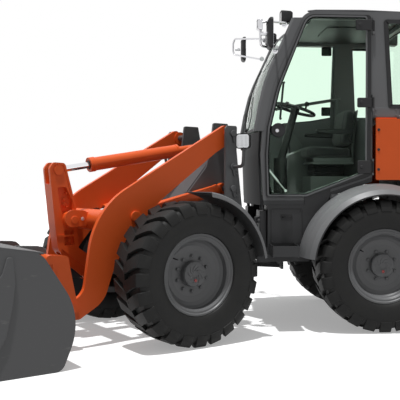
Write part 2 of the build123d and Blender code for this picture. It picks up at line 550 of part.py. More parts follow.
add("rocker", rocker, True)

LINK_EAR_Y = (74.0, 98.0)
add("link_pin", cross_pin(LINK_PIN, PIN_R, -LINK_EAR_Y[1] - 4, LINK_EAR_Y[1] + 4), True)
link_dir = Vector(LINK_PIN[0] - ROCKER_LOW_PIN[0], LINK_PIN[1] - ROCKER_LOW_PIN[1]).normalized()
link_side = Vector(-link_dir.Y, link_dir.X) * 34
a, b = Vector(*ROCKER_LOW_PIN), Vector(*LINK_PIN)
bar = make_face(Polyline(*[tuple(p)[:2] for p in (a + link_side, b + link_side, b - link_side,
                                                  a - link_side)],
                         close=True))
link = plate(bar, -30, 30) + cross_pin(ROCKER_LOW_PIN, 46, -30, 30)
link = link + cross_pin(LINK_PIN, 46, -LINK_EAR_Y[0] + 4, LINK_EAR_Y[0] - 4)
add("link", link - cross_pin(LINK_PIN, PIN_R + RUNNING_GAP, -100, 100), True)


# ---- hydraulic cylinders -------------------------------------------------------------------------
def cylinder(base, eye, y, bore_r, rod_r, barrel_len, rod_in, base_w, eye_w, neck, neck_r):
    """Barrel and rod between two (x, z) pins in a plane at y. A neck of its own radius joins the base eye
    to the barrel's cap, and the rod starts rod_in inside the barrel."""
    base, eye = Vector(*base), Vector(*eye)
    length = (eye - base).length
    spot = Plane((base.X, y, base.Y), x_dir=(0, 1, 0), z_dir=(eye.X - base.X, 0, eye.Y - base.Y))
    start = barrel_len - rod_in
    barrel = extrude(spot * Pos(0, 0, neck) * Circle(bore_r), barrel_len - neck)
    barrel = barrel + extrude(spot * Pos(0, 0, PIN_R + 8) * Circle(neck_r), neck - PIN_R)
    barrel = barrel + cross_pin((base.X, base.Y), PIN_R + 20, y - base_w / 2, y + base_w / 2)
    bore_start = max(start - 115, 80)
    barrel = barrel - extrude(spot * Pos(0, 0, bore_start) * Circle(rod_r + RUNNING_GAP), barrel_len)
    barrel = barrel - cross_pin((base.X, base.Y), PIN_R + RUNNING_GAP, y - 200, y + 200)
    rod = extrude(spot * Pos(0, 0, start) * Circle(rod_r), length - start - 20)
    return barrel, rod + cross_pin((eye.X, eye.Y), PIN_R + 20, y - eye_w / 2, y + eye_w / 2)


tilt_barrel, tilt_rod = cylinder(TILT_BASE_PIN, ROCKER_TOP_PIN, 0, 52, 25, 1065, 150, 70, 60, 262, 32)
add("tilt_barrel", tilt_barrel, True)
add("tilt_rod", tilt_rod, True)
lift_barrel, lift_rod = cylinder(LIFT_BASE_PIN, LIFT_EYE_PIN, 300, 45, 25, 790, 560, 60, 60, 56, 40)
add("lift_barrels", both_sides(lift_barrel), True)
add("lift_rods", both_sides(lift_rod + cross_pin(LIFT_EYE_PIN, PIN_R, 325, ARM_Y[0] - 3)), True)

STEER_CLOSED = 505.0         # pin to pin, at full lock
STEER_BARREL = 400.0
ROD_REACH = STEER_CLOSED - 60
turn = radians(STEER_REST)
up = Vector(0, 0, 30)
for name, side in (("left", 1), ("right", -1)):
    fx, fy = STEER_FRONT[0], side * STEER_FRONT[1]
    eye = Vector(fx * cos(turn) - fy * sin(turn), fx * sin(turn) + fy * cos(turn), STEER_Z)
    base = Vector(STEER_REAR[0], side * STEER_REAR[1], STEER_Z)
    spot = Plane(base, z_dir=eye - base)
    length = (eye - base).length
    barrel = extrude(spot * Pos(0, 0, 24) * Circle(29), STEER_BARREL - 24) + rod_between(base - up,
                                                                                         base + up, 32)
    barrel = barrel - extrude(spot * Pos(0, 0, 48) * Circle(16 + RUNNING_GAP), STEER_BARREL)
    barrel = barrel - rod_between(base - up * 2, base + up * 2, 16 + RUNNING_GAP)
    rod = extrude(spot * Pos(0, 0, length - ROD_REACH) * Circle(16), ROD_REACH - 20)
    add("steer_barrel_" + name, barrel)
    add("steer_rod_" + name, rod + rod_between(eye - up, eye + up, 28))

# ---- coupler and bucket ---------------------------------------------------------------------------
tip_pin = fuse(cross_pin(TIP_PIN, TIP_PIN_R, 322, 438), cross_pin(TIP_PIN, TIP_BUSH_R, 349.5, 410.5),
               cross_pin(TIP_PIN, 55, 435.5, 446))
add("tip_pins", both_sides(tip_pin), True)
outer_ear = outline((2000, 690, 20), (1845, 672, 20), (1826, 567, 40), (1778, 330, 40), (1775, 225, 50),
                    (1920, 222, 50),
                    (1962, 260), (1962, 560))
inner_ear = outline((1962, 650), (1815, 645, 20), (1772, 590, 30), (1775, 460, 40), (1810, 430, 30),
                    (1962, 420))
coupler = fuse(block(1937, 1962, -440, 440, 250, 640), cross_pin((1975, 655), 32, -440, 440))
for y in (325, 411):
    coupler = coupler + both_sides(plate(outer_ear, y, y + 24))
coupler = coupler + both_sides(plate(inner_ear, *LINK_EAR_Y)) - block(1930, 2010, -66, 66, 420, 700)
coupler = coupler - both_sides(block(1930, 1970, 350, 410, 240, 312))
coupler = coupler - cross_pin(TIP_PIN, TIP_PIN_R + RUNNING_GAP, -500, 500)
coupler = coupler - cross_pin(LINK_PIN, PIN_R + RUNNING_GAP, -150, 150)
add("coupler", coupler, True)

WALL = 12.0
HALF_BUCKET = BUCKET_WIDTH / 2
LIP_X = 2950.0
bucket_out = outline((LIP_X, 0), (2084, 0, 70), (1944, 330, 400), (2215, 752, 120), (2480, 790),
                     (2480, 778),
                     (2222, 740, 108), (1957, 330, 388), (2092, WALL, 58), (LIP_X, WALL))
bucket_side = outline((LIP_X, 0), (2084, 0, 70), (1944, 330, 400), (2215, 752, 120), (2480, 790),
                      (2520, 640, 180))
bucket = fuse(plate(bucket_out, -HALF_BUCKET, HALF_BUCKET),
              both_sides(plate(bucket_side, HALF_BUCKET - 16, HALF_BUCKET)),
              block(2780, LIP_X, -HALF_BUCKET, HALF_BUCKET, 0, 22),
              rod_between((2488, -HALF_BUCKET, 790), (2488, HALF_BUCKET, 790), 14))
hook = outline((2185, 712), (2150, 748, 20), (1985, 738, 20), (1955, 712), (1955, 687.2), (2012, 687.2),
               (2012, 560),
               (1962, 540), (1962, 200), (2014, 185), (2000, 330), (2106, 562))
for y in (230, 290):
    bucket = bucket + both_sides(plate(hook, y, y + 20))
add("bucket", bucket, True)


# ---- place everything and write one STEP file per piece --------------------------------------------
placed = {}
for name, shape in nodes.items():
    placed[name] = Rot(0, 0, STEER_REST) * shape if name in front_nodes else shape
whole = Compound([s for shape in placed.values() for s in shape.solids()]).bounding_box()
centre = Pos(-(whole.min.X + whole.max.X) / 2, -(whole.min.Y + whole.max.Y) / 2, -whole.min.Z)
os.makedirs("parts", exist_ok=True)
for name, shape in placed.items():
    solids = (centre * shape).solids()
    export_step(solids[0] if len(solids) == 1 else Compound(solids), "parts/" + name + ".step")
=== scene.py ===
import json
import math

import bpy
import numpy as np
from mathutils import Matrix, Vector


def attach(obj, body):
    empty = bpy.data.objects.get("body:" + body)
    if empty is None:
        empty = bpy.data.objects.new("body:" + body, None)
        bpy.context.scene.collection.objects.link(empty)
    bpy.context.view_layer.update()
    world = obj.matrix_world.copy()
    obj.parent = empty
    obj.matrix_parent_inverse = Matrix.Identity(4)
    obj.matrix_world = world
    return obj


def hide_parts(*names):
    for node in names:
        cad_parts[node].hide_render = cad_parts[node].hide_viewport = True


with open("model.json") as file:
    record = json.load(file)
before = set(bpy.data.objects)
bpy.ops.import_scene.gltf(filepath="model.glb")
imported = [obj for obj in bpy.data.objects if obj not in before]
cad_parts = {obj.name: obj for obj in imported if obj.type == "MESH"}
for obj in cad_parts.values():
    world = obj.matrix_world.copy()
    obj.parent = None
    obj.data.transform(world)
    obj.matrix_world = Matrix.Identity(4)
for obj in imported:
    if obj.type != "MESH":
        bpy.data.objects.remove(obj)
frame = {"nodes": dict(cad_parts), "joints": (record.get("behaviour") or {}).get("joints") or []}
nodes = frame["nodes"]
joints = {j["name"]: j for j in frame["joints"]}
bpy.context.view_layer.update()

# ---- camera, stage and light ----
# The loader stands on a white studio floor and is seen square from its left, at a standing person's
# eye level, through a long lens. Even sky light fills the shade and one lamp stands almost overhead.
LENS_MM, SENSOR_MM, SIDE_SHIFT = 65.6, 36.0, -0.061
EYE_FROM_PIVOT = (0.66985, 6.43957, 1.19)
EYE_TURN, EYE_DIP = math.radians(-4.4), math.radians(1.43)
lens = bpy.data.cameras.new("eye")
lens.lens, lens.sensor_width, lens.shift_x = LENS_MM, SENSOR_MM, SIDE_SHIFT
eye = bpy.data.objects.new("eye", lens)
bpy.context.scene.collection.objects.link(eye)
pivot = np.array(joints["steering"]["pos_m"][:2] + [0.0])
eye.location = pivot + EYE_FROM_PIVOT
looks_along = Vector((math.sin(EYE_TURN) * math.cos(EYE_DIP), -math.cos(EYE_TURN) * math.cos(EYE_DIP),
    -math.sin(EYE_DIP)))
eye.rotation_euler = looks_along.to_track_quat("-Z", "Y").to_euler()
bpy.context.scene.camera = eye
bpy.context.scene.view_settings.view_transform = "Standard"


def node_maker(tree):
    """Clears a tree and returns a maker of its shader nodes. It takes a node's kind, what its sockets hold,
    in their order or by name (a value, an output, or a node for its first output), and plain settings with
    an underscore before them."""
    tree.nodes.clear()

    def make(kind, *fed, **named):
        node = tree.nodes.new("ShaderNode" + kind)
        for key, value in [*enumerate(fed), *named.items()]:
            if isinstance(key, str) and key[0] == "_":
                setattr(node, key[1:], value)
                continue
            socket = node.inputs[key if isinstance(key, int) else key.replace("_", " ")]
            if isinstance(value, bpy.types.Node):
                value = value.outputs[0]
            if isinstance(value, bpy.types.NodeSocket):
                tree.links.new(value, socket)
            else:
                socket.default_value = value
        return node

    return make


def new_finish(name):
    """New material, and the maker of its nodes."""
    material = bpy.data.materials.new(name)
    material.use_nodes = True
    return material, node_maker(material.node_tree)


def plain_seen(make):
    """One where a ray comes from the eye, or straight by way of a reflection or glass, and nought where it
    has bounced off a dull surface, so that the windows don't brighten the cab's inside."""
    path = make("LightPath").outputs
    polished = make("Math", path["Is Glossy Ray"], path["Is Transmission Ray"], _operation="MAXIMUM")
    straight = make("Math", path["Diffuse Depth"], 0.5, _operation="LESS_THAN")
    lit = make("Math", polished, straight, _operation="MULTIPLY")
    return make("Math", lit, path["Is Camera Ray"], _operation="MAXIMUM")


def grey(shade):
    """An even colour of one shade."""
    return shade, shade, shade, 1.0


FLOOR_SHADE, FLOOR_SEEN, FLOOR_GLOW, FLOOR_REACH = 0.30, 0.84, 0.33, 60.0
floor_finish, make = new_finish("studio_floor")
seen_and_glow = make("AddShader", make("BsdfDiffuse", Color=grey(FLOOR_SEEN)),
    make("Emission", Color=grey(1.0), Strength=FLOOR_GLOW))
bounce = make("BsdfDiffuse", Color=grey(FLOOR_SHADE))
make("OutputMaterial", Surface=make("MixShader", plain_seen(make), bounce, seen_and_glow))
floor_mesh = bpy.data.meshes.new("studio_floor")
floor_mesh.from_pydata([(x * FLOOR_REACH, y * FLOOR_REACH, 0)
    for x, y in ((-1, -1), (1, -1), (1, 1), (-1, 1))], [], [(0, 1, 2, 3)])
floor_mesh.materials.append(floor_finish)
studio_floor = bpy.data.objects.new("studio_floor", floor_mesh)
bpy.context.scene.collection.objects.link(studio_floor)

SKY_STRENGTH = 0.26
world = bpy.data.worlds.new("studio_sky")
bpy.context.scene.world = world
world.use_nodes = True
make = node_maker(world.node_tree)
shade_light, plain_white = (make("Background", grey(1.0), strength) for strength in (SKY_STRENGTH, 1.0))
make("OutputWorld", Surface=make("MixShader", plain_seen(make), shade_light, plain_white))

SUN_STRENGTH, SUN_WIDTH, SUN_ALONG = 2.9, math.radians(1.5), Vector((-0.10, -0.18, -1.0))
sun = bpy.data.lights.new("high_lamp", "SUN")
sun.energy, sun.angle = SUN_STRENGTH, SUN_WIDTH
high_lamp = bpy.data.objects.new("high_lamp", sun)
bpy.context.scene.collection.objects.link(high_lamp)
high_lamp.rotation_euler = SUN_ALONG.to_track_quat("-Z", "Y").to_euler()

# ---- rear frame and rear axle ----
# Two long side plates of welded structural steel carry the engine, cab and counterweight. They are
# shot-blasted and sprayed in a satin near-black enamel, and the drive axle is bolted up under them.


def two_tone(make, level, low, high, start=0.0, stop=1.0):
    """A colour that turns from low to high as a level rises from start to stop."""
    ramp = make("ValToRGB", level)
    for element, place, colour in zip(ramp.color_ramp.elements, (start, stop), (low, high)):
        element.position, element.color = place, (*colour, 1)
    return ramp


def enamel(name, colour, rough=0.45, mottle=0.05, bump=0.0006, metal=0.0, specular=0.4, grain=160.0):
    """Sprayed or moulded finish: its colour drifts a little with large soft noise, its gloss with finer
    noise, and its surface has a fine grain, all in object space."""
    material, make = new_finish(name)
    here = make("TexCoord").outputs["Object"]
    cloudy = make("TexNoise", Vector=here, Scale=3.5, Detail=5.0, Roughness=0.6)
    fine = make("TexNoise", Vector=here, Scale=grain, Detail=3.0, Roughness=0.55)
    low, high = ([min(1, c * drift) for c in colour] for drift in (1 - mottle, 1 + mottle))
    shade = two_tone(make, cloudy, low, high, 0.3, 0.7)
    gloss = make("MapRange", fine, To_Min=rough - 0.06, To_Max=rough + 0.08)
    relief = make("Bump", Height=fine, Strength=0.25, Distance=bump)
    body = make("BsdfPrincipled", Base_Color=shade, Roughness=gloss, Normal=relief, Metallic=metal,
        Specular_IOR_Level=specular)
    make("OutputMaterial", Surface=body)
    return material


def dress(material, *names):
    """Give CAD nodes a finish."""
    for name in names:
        nodes[name].data.materials.clear()
        nodes[name].data.materials.append(material)


UP, LEFT = np.array([0.0, 0.0, 1.0]), (0, 1, 0)


leftward = -np.array(joints["boom_lift"]["axis"], float)
ahead = np.cross(leftward, UP)


def placed(points, body):
    """Points drawn in millimetres in the frame of a body's half, in the object's frame in metres. The front
    half's frame is turned left with it about the steering joint. Wheels are drawn in the object's frame."""
    p = np.asarray(points, float) / 1000
    if body.startswith("wheel_"):
        return p
    if body in ("rear_frame", "engine_hood", "cab_door"):
        return p + pivot
    return p[..., :1] * ahead + p[..., 1:2] * leftward + p[..., 2:] * UP + pivot


def piece(name, part, material, slot, body="rear_frame", crease=32, replaces=()):
    """New object at the origin from a part or a list of parts drawn in millimetres, smooth across edges
    that turn less than the crease angle in degrees. It rides on a body and has a finish. The slot argument
    is not used."""
    points, faces = join_up(*part) if isinstance(part, list) else part
    mesh = bpy.data.meshes.new(name)
    mesh.from_pydata(placed(points, body).reshape(-1, 3), [], [tuple(f) for f in faces])
    mesh.update()
    mesh.polygons.foreach_set("use_smooth", np.ones(len(mesh.polygons), bool))
    mesh.set_sharp_from_angle(angle=math.radians(crease))
    mesh.materials.append(material)
    made = bpy.data.objects.new(name, mesh)
    bpy.context.scene.collection.objects.link(made)
    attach(made, body)
    if replaces:
        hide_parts(*replaces)
    return made


def grid_faces(rows, columns, closed_rows=False, closed_columns=False):
    """Faces of a rows by columns grid of points, wrapped round in either direction if it is closed."""
    r, c = np.meshgrid(np.arange(rows - (not closed_rows)), np.arange(columns - (not closed_columns)),
        indexing="ij")
    r2, c2 = (r + 1) % rows, (c + 1) % columns
    return np.stack([r * columns + c, r2 * columns + c, r2 * columns + c2,
        r * columns + c2], -1).reshape(-1, 4)


def join_up(*parts):
    """One set of points and faces out of several (points, faces) pairs."""
    points, faces, count = [], [], 0
    for p, f in parts:
        points.append(np.asarray(p, float).reshape(-1, 3))
        faces += [tuple(int(i) + count for i in face) for face in f]
        count += len(points[-1])
    return np.concatenate(points), faces


def skin(loops, ring=False):
    """Closed surface through a stack of closed loops with as many points each. The first and last loops are
    capped, or joined to each other where the stack is a ring. Its faces are turned to point outwards: the
    sum of the corner tetrahedra, one third of centre dot area for each face, is made positive."""
    loops = np.asarray(loops, float)
    rows, columns = loops.shape[:2]
    points = loops.reshape(-1, 3)
    faces = grid_faces(rows, columns, closed_rows=ring, closed_columns=True)
    a, b, c, d = (points[faces[:, k]] for k in range(4))
    total = ((np.cross(b - a, c - a) + np.cross(c - a, d - a)) * (a - points.mean(0))).sum()
    faces = [tuple(f) for f in faces]
    if not ring:
        faces += [tuple(range(columns))[::-1], tuple(range((rows - 1) * columns, rows * columns))]
        for cap, sign in ((points[:columns], -1), (points[-columns:], 1)):
            area = np.cross(cap - cap[0], np.roll(cap, -1, 0) - cap[0]).sum(0)
            total += sign * float(area @ (cap[0] - points.mean(0)))
    return points, ([f[::-1] for f in faces] if total < 0 else faces)


def lathe(profile, start, towards, sides=32, phase=0.0, ring=False):
    """A turned solid: (distance along, radius) points carried round the line from start, and closed at its
    ends, or back to its first point where the profile is a ring. With six sides it is a hexagon head."""
    start, n = np.asarray(start, float), np.asarray(towards, float)
    n = n / np.linalg.norm(n)
    u = np.cross(n, UP if abs(n[2]) < 0.9 else (1.0, 0.0, 0.0))
    u /= np.linalg.norm(u)
    v = np.cross(n, u)
    a = phase + np.linspace(0, 2 * np.pi, sides, endpoint=False)
    s, r = np.array(profile, float).T
    hoop = np.cos(a)[:, None] * u + np.sin(a)[:, None] * v
    return skin(start + s[:, None, None] * n + r[:, None, None] * hoop[None], ring)


def heads(places, towards=LEFT, r=11.0, high=8.0):
    """Hexagon bolt heads with washers, standing out of a surface at each place."""
    made = []
    for k, place in enumerate(places):
        made.append(lathe([(0, r * 1.45), (1.8, r * 1.45), (2.4, r * 1.45 - 0.8)], place, towards, 20))
        made.append(lathe([(2, r), (high - 1.6, r), (high, r * 0.86)], place, towards, 6, 0.4 * k))
    return join_up(*made)


def mirrored(*parts):
    """The parts and their mirror images across the machine's middle plane, with faces turned back
    outwards."""
    points, faces = part = join_up(*parts)
    return join_up(part, (points * (1, -1, 1), [f[::-1] for f in faces]))


frame_enamel = enamel("frame_enamel", (0.028, 0.029, 0.031), 0.48, 0.12)
dress(frame_enamel, "rear_frame", "rear_axle", "centre_knuckle", "front_frame", "front_axle",
    "steer_barrel_left", "steer_barrel_right", "link")
BASE, TRACK_HALF, AXLE_UP = 1025.0, 690.0, 525.0
bright_steel = enamel("bright_steel", (0.58, 0.58, 0.60), 0.32, 0.06, metal=1.0)
STEEL = (bright_steel, "pin_steel")
piece("rear_axle_bolts", mirrored(
    heads([(-BASE + x, 385, AXLE_UP + 35) for x in (-46, 46)], LEFT, 10)), *STEEL)

# ---- counterweight ----
# A block of cast iron hung on the tail balances the loaded bucket. Its sand-cast skin shows through
# the same near-black enamel, and the tail lamps are sunk into rubber housings bolted on its back.


def rounded(corners, steps=6):
    """Closed loop through (x, z, radius) corners: each corner is an arc tangent to both of its sides, with
    the same number of points whatever its radius, so that loops made alike can be joined to each other."""
    corners = np.array([(*c, 0.01)[:3] for c in corners], float)
    here, r = corners[:, :2], corners[:, 2:]
    u = np.roll(here, 1, 0) - here
    v = np.roll(here, -1, 0) - here
    u /= np.linalg.norm(u, axis=1, keepdims=True)
    v /= np.linalg.norm(v, axis=1, keepdims=True)
    half = 0.5 * np.arccos(np.clip((u * v).sum(1, keepdims=True), -1, 0.99999))
    middle = u + v + 1e-9
    middle /= np.linalg.norm(middle, axis=1, keepdims=True)
    centre = here + middle * r / np.sin(half)
    first, last = here + u * r / np.tan(half) - centre, here + v * r / np.tan(half) - centre
    angle = np.maximum(np.pi - 2 * half, 1e-6)[:, None, :]
    t = np.linspace(0, 1, steps)[None, :, None]
    arc = (np.sin((1 - t) * angle) * first[:, None] + np.sin(t * angle) * last[:, None]) / np.sin(angle)
    return (centre[:, None] + arc).reshape(-1, 2)


def oblong(x0, x1, z0, z1, r):
    """The corners of a rectangle with one radius."""
    return [(x0, z0, r), (x1, z0, r), (x1, z1, r), (x0, z1, r)]


def inset(loop, by):
    """The loop moved inwards along its own normals by a distance."""
    loop = np.asarray(loop, float)
    run = np.roll(loop, -1, 0) - np.roll(loop, 1, 0)
    run /= np.maximum(np.linalg.norm(run, axis=1, keepdims=True), 1e-9)
    x, z = loop.T
    turn = np.sign((x * np.roll(z, -1) - np.roll(x, -1) * z).sum())
    return loop + turn * by * np.column_stack([-run[:, 1], run[:, 0]])


def carried(loop, stack, axis=0, ring=False):
    """A flat loop carried along the axis square to it: (place, inset) pairs say where each copy lies and
    how far it is drawn in."""
    return skin([np.insert(inset(loop, by), axis, place, 1) for place, by in stack], ring)


cast_enamel = enamel("cast_enamel", (0.030, 0.031, 0.033), 0.55, 0.16, bump=0.0022, grain=70.0)
dress(cast_enamel, "counterweight")
black_plastic = enamel("black_plastic", (0.011, 0.011, 0.012), 0.5, 0.1, specular=0.35)
BLACK = (black_plastic, "black_plastic")
red_lens = enamel("red_lens", (0.42, 0.012, 0.008), 0.18, 0.04, specular=0.6)
amber_lens = enamel("amber_lens", (0.75, 0.23, 0.01), 0.18, 0.04, specular=0.6)
TAIL_X = -2199.0


def tail_box(y, z, wide, high, deep, r):
    """A rounded box on the tail, its outline in (y, z) carried back from the casting."""
    loop = rounded(oblong(y - wide, y + wide, z - high, z + high, r))
    return carried(loop, [(TAIL_X - d, i) for d, i in ((0, 0), (deep - 3, 0), (deep - 0.8, 1), (deep, 3))])


piece("tail_lamp_housings", mirrored(tail_box(500, 960, 118, 52, 14, 14)), *BLACK)
for name, y, lens_finish in (("red", 545, red_lens), ("amber", 452, amber_lens)):
    piece("tail_lenses_" + name, mirrored(tail_box(y, 960, 42, 40, 20, 10)), lens_finish, "black_plastic")

# ---- engine, side panels and hood ----
# The diesel is a painted iron block. Pressed steel panels close it in at the sides and a one-piece
# hood hinges up at its front edge. Both are primed and sprayed in gloss orange enamel.


def plate(face, y0, y1, edge=1.5):
    """A plate cut to a rounded outline, from y0 to y1, with its edges broken by a small chamfer."""
    low, high = min(y0, y1), max(y0, y1)
    return carried(rounded(face), ((low, edge), (low + edge, 0), (high - edge, 0), (high, edge)), 1)


def block(x0, x1, y0, y1, z0, z1, r=4.0, edge=1.5):
    """A pressed or moulded box: a rounded outline in (x, z) carried across, with its edges broken."""
    return plate(oblong(x0, x1, z0, z1, r), y0, y1, edge)


def pipe(corners, r, bend=30.0, sides=16, steps=7):
    """A bent round pipe: straight runs joined by arcs of one radius, and a circle carried along them, kept
    from twisting by turning it by the least angle at each step."""
    corners = np.asarray(corners, float)
    line = [corners[0]]
    for a, b, c in zip(corners[:-2], corners[1:-1], corners[2:]):
        u, v = (a - b) / np.linalg.norm(a - b), (c - b) / np.linalg.norm(c - b)
        half = 0.5 * math.acos(float(np.clip(u @ v, -1, 1)))
        reach = min(bend / math.tan(half), 0.45 * np.linalg.norm(a - b), 0.45 * np.linalg.norm(c - b))
        t = np.linspace(0, 1, steps)[:, None]
        line += list((1 - t) ** 2 * (b + u * reach) + 2 * t * (1 - t) * b + t ** 2 * (b + v * reach))
    line = np.array(line + [corners[-1]])
    run = np.gradient(line, axis=0)
    run /= np.linalg.norm(run, axis=1, keepdims=True)
    side = np.cross(run[0], (0.3, 0.2, 0.93) if abs(run[0][2]) < 0.9 else (1.0, 0.1, 0.0))
    rings, a = [], np.linspace(0, 2 * np.pi, sides, endpoint=False)[:, None]
    for here, along in zip(line, run):
        side = side - along * (side @ along)
        side /= np.linalg.norm(side)
        rings.append(here + r * (np.cos(a) * side + np.sin(a) * np.cross(along, side)))
    return skin(rings)


iron = enamel("iron", (0.06, 0.06, 0.06), 0.6, 0.2, bump=0.002, grain=60.0)
dress(iron, "engine")
orange_enamel = enamel("orange_enamel", (0.84, 0.125, 0.022), 0.42, 0.03, specular=0.3)
ORANGE = (orange_enamel, "orange_paint")
dress(orange_enamel, "engine_side_panels", "engine_hood", "boom", "rocker", "coupler",
    "tilt_barrel", "lift_barrels")
piece("side_panel_bolts", mirrored(
    heads([(-1024, 660, z) for z in (1290, 1450, 1610)] + [(-1500, 660, 1060), (-1900, 660, 1060)],
    LEFT, 8, 6)), *BLACK)
slots = [block(-2080, -1700, 660, 662.5, z, z + 14, 7, 0.8) for z in range(1180, 1420, 34)]
piece("side_panel_louvres", mirrored(*slots), *BLACK)
piece("hood_seals", mirrored(
    pipe([(-1362, 634, 1664), (-1500, 634, 1636), (-2090, 634, 1517), (-2192, 634, 1400)], 4, 90)), *BLACK)
piece("hood_handle",
    pipe([(-2200, -90, 1420), (-2218, -90, 1420), (-2218, 90, 1420), (-2200, 90, 1420)], 7, 14),
    *BLACK, "engine_hood")
piece("hood_louvre_lips", [block(-2206, -2196, -418, 418, z - 4, z + 2, 1.5, 1) for z in range(1152,
    1380, 44)],
    *ORANGE, "engine_hood")

# ---- wheels ----
# Tubeless traction tyres of black rubber on pressed steel rims. A smooth carcass runs from bead to bead,
# with two staggered rows of curved lugs vulcanised onto it. Each rim is bolted to its planetary hub.
WHEELS = ("front_left", "front_right", "rear_left", "rear_right")
LUGS = 24
carcass = np.array([(118, 256.3), (147.7, 256.3), (147.7, 295.3), (158, 297), (166, 303), (172, 300),
    (178, 308), (186, 322), (193, 345), (198, 372), (199, 400), (196, 428), (189, 455), (178, 476),
    (160, 489), (120, 494), (60, 496), (0, 497)])
lug_top = np.array([(-12, 525), (40, 525), (90, 525), (130, 523.5), (165, 518.5), (178, 505), (188, 487),
    (195, 462), (199, 436)])
lug_root = np.array([(-12, 490), (40, 490), (90, 489), (130, 486), (158, 478), (170, 468), (178, 458),
    (186, 446), (193, 433)])


def tyre_shape(axle, outward, forward):
    """Carcass: a profile (distance across, radius) turned about the axle. Each lug: a trapezoid section
    carried from the tread centre over the shoulder, its middle angle falling back towards the centre,
    tapered at the top."""
    def round_axle(y, r, angle):
        y, r, angle = (v[..., None] for v in np.broadcast_arrays(y, r, angle))
        return axle + y * outward + r * np.cos(angle) * forward + r * np.sin(angle) * UP

    whole = np.concatenate([carcass, carcass[-2::-1] * (-1, 1)])
    angles = np.linspace(0, 2 * math.pi, 144, endpoint=False)
    hoop = round_axle(whole[:, 0][:, None], whole[:, 1][:, None], angles[None, :])
    parts = [(hoop, grid_faces(len(whole), len(angles), closed_columns=True))]
    lean = -0.135 * (1 - np.clip(lug_top[:, 0] / 170, 0, 1)) ** 1.35
    half = math.pi / LUGS * np.interp(np.arange(len(lug_top)), [0, 3, 5, 8], [0.66, 0.68, 0.72, 0.70])
    turn = np.array([-1.13, -1.0, -0.94, 0.94, 1.0, 1.13]) * half[:, None]
    level = np.array([0.0, 0.88, 1.0, 1.0, 0.88, 0.0])
    out, r = (lug_root[:, k:k + 1] * (1 - level) + lug_top[:, k:k + 1] * level for k in (0, 1))
    rows, columns = out.shape
    faces = [tuple(f) for f in grid_faces(rows, columns)]
    faces += [tuple(range(columns))[::-1], tuple(range((rows - 1) * columns, rows * columns))]
    for side in (1, -1):
        middle = 2 * math.pi / LUGS * (np.arange(LUGS)[:, None, None] + 0.5 * (side < 0)) + lean[:, None]
        parts += [(lug, [f[::side] for f in faces]) for lug in round_axle(side * out, r, middle + turn)]
    return join_up(*parts)


def tyre_rubber(name):
    """Moulded rubber: near black, paler and drier with soft noise, finely pitted."""
    material, make = new_finish(name)
    here = make("TexCoord").outputs["Object"]
    dust = make("TexNoise", Vector=here, Scale=5.0, Detail=6.0, Roughness=0.65)
    pits = make("TexNoise", Vector=here, Scale=90.0, Detail=4.0, Roughness=0.6)
    shade = two_tone(make, dust, (0.009, 0.009, 0.009), (0.016, 0.016, 0.015), 0.35, 0.75)
    relief = make("Bump", Height=pits, Strength=0.35, Distance=0.0015)
    body = make("BsdfPrincipled", Base_Color=shade, Normal=relief, Roughness=0.55, Specular_IOR_Level=0.22)
    make("OutputMaterial", Surface=body)
    return material


def swirl(hub, outward, r, blades=9):
    """Raised curved ribs on the hub cap: each runs from near the centre to the cap's edge, and its angle
    grows with the distance, so that together they make a pinwheel."""
    forward = np.cross(outward, UP)
    made = []
    for k in range(blades):
        t = np.linspace(0, 1, 9)
        dist, angle = r * (0.30 + 0.58 * t), 2 * np.pi * k / blades + 0.95 * t
        wide = 3.4 * np.sin(np.pi * (0.12 + 0.76 * t))
        along = np.stack([np.cos(angle), np.sin(angle)], -1)
        over = np.stack([-np.sin(angle), np.cos(angle)], -1)
        loops = []
        for side, level in ((-1.0, -1.0), (-0.7, 3.4), (0.7, 3.4), (1.0, -1.0)):
            flat = along * dist[:, None] + over * (side * wide)[:, None]
            loops.append(hub + flat[:, :1] * forward + flat[:, 1:] * UP + level * outward)
        made.append(skin(np.stack(loops, 1)))
    return join_up(*made)


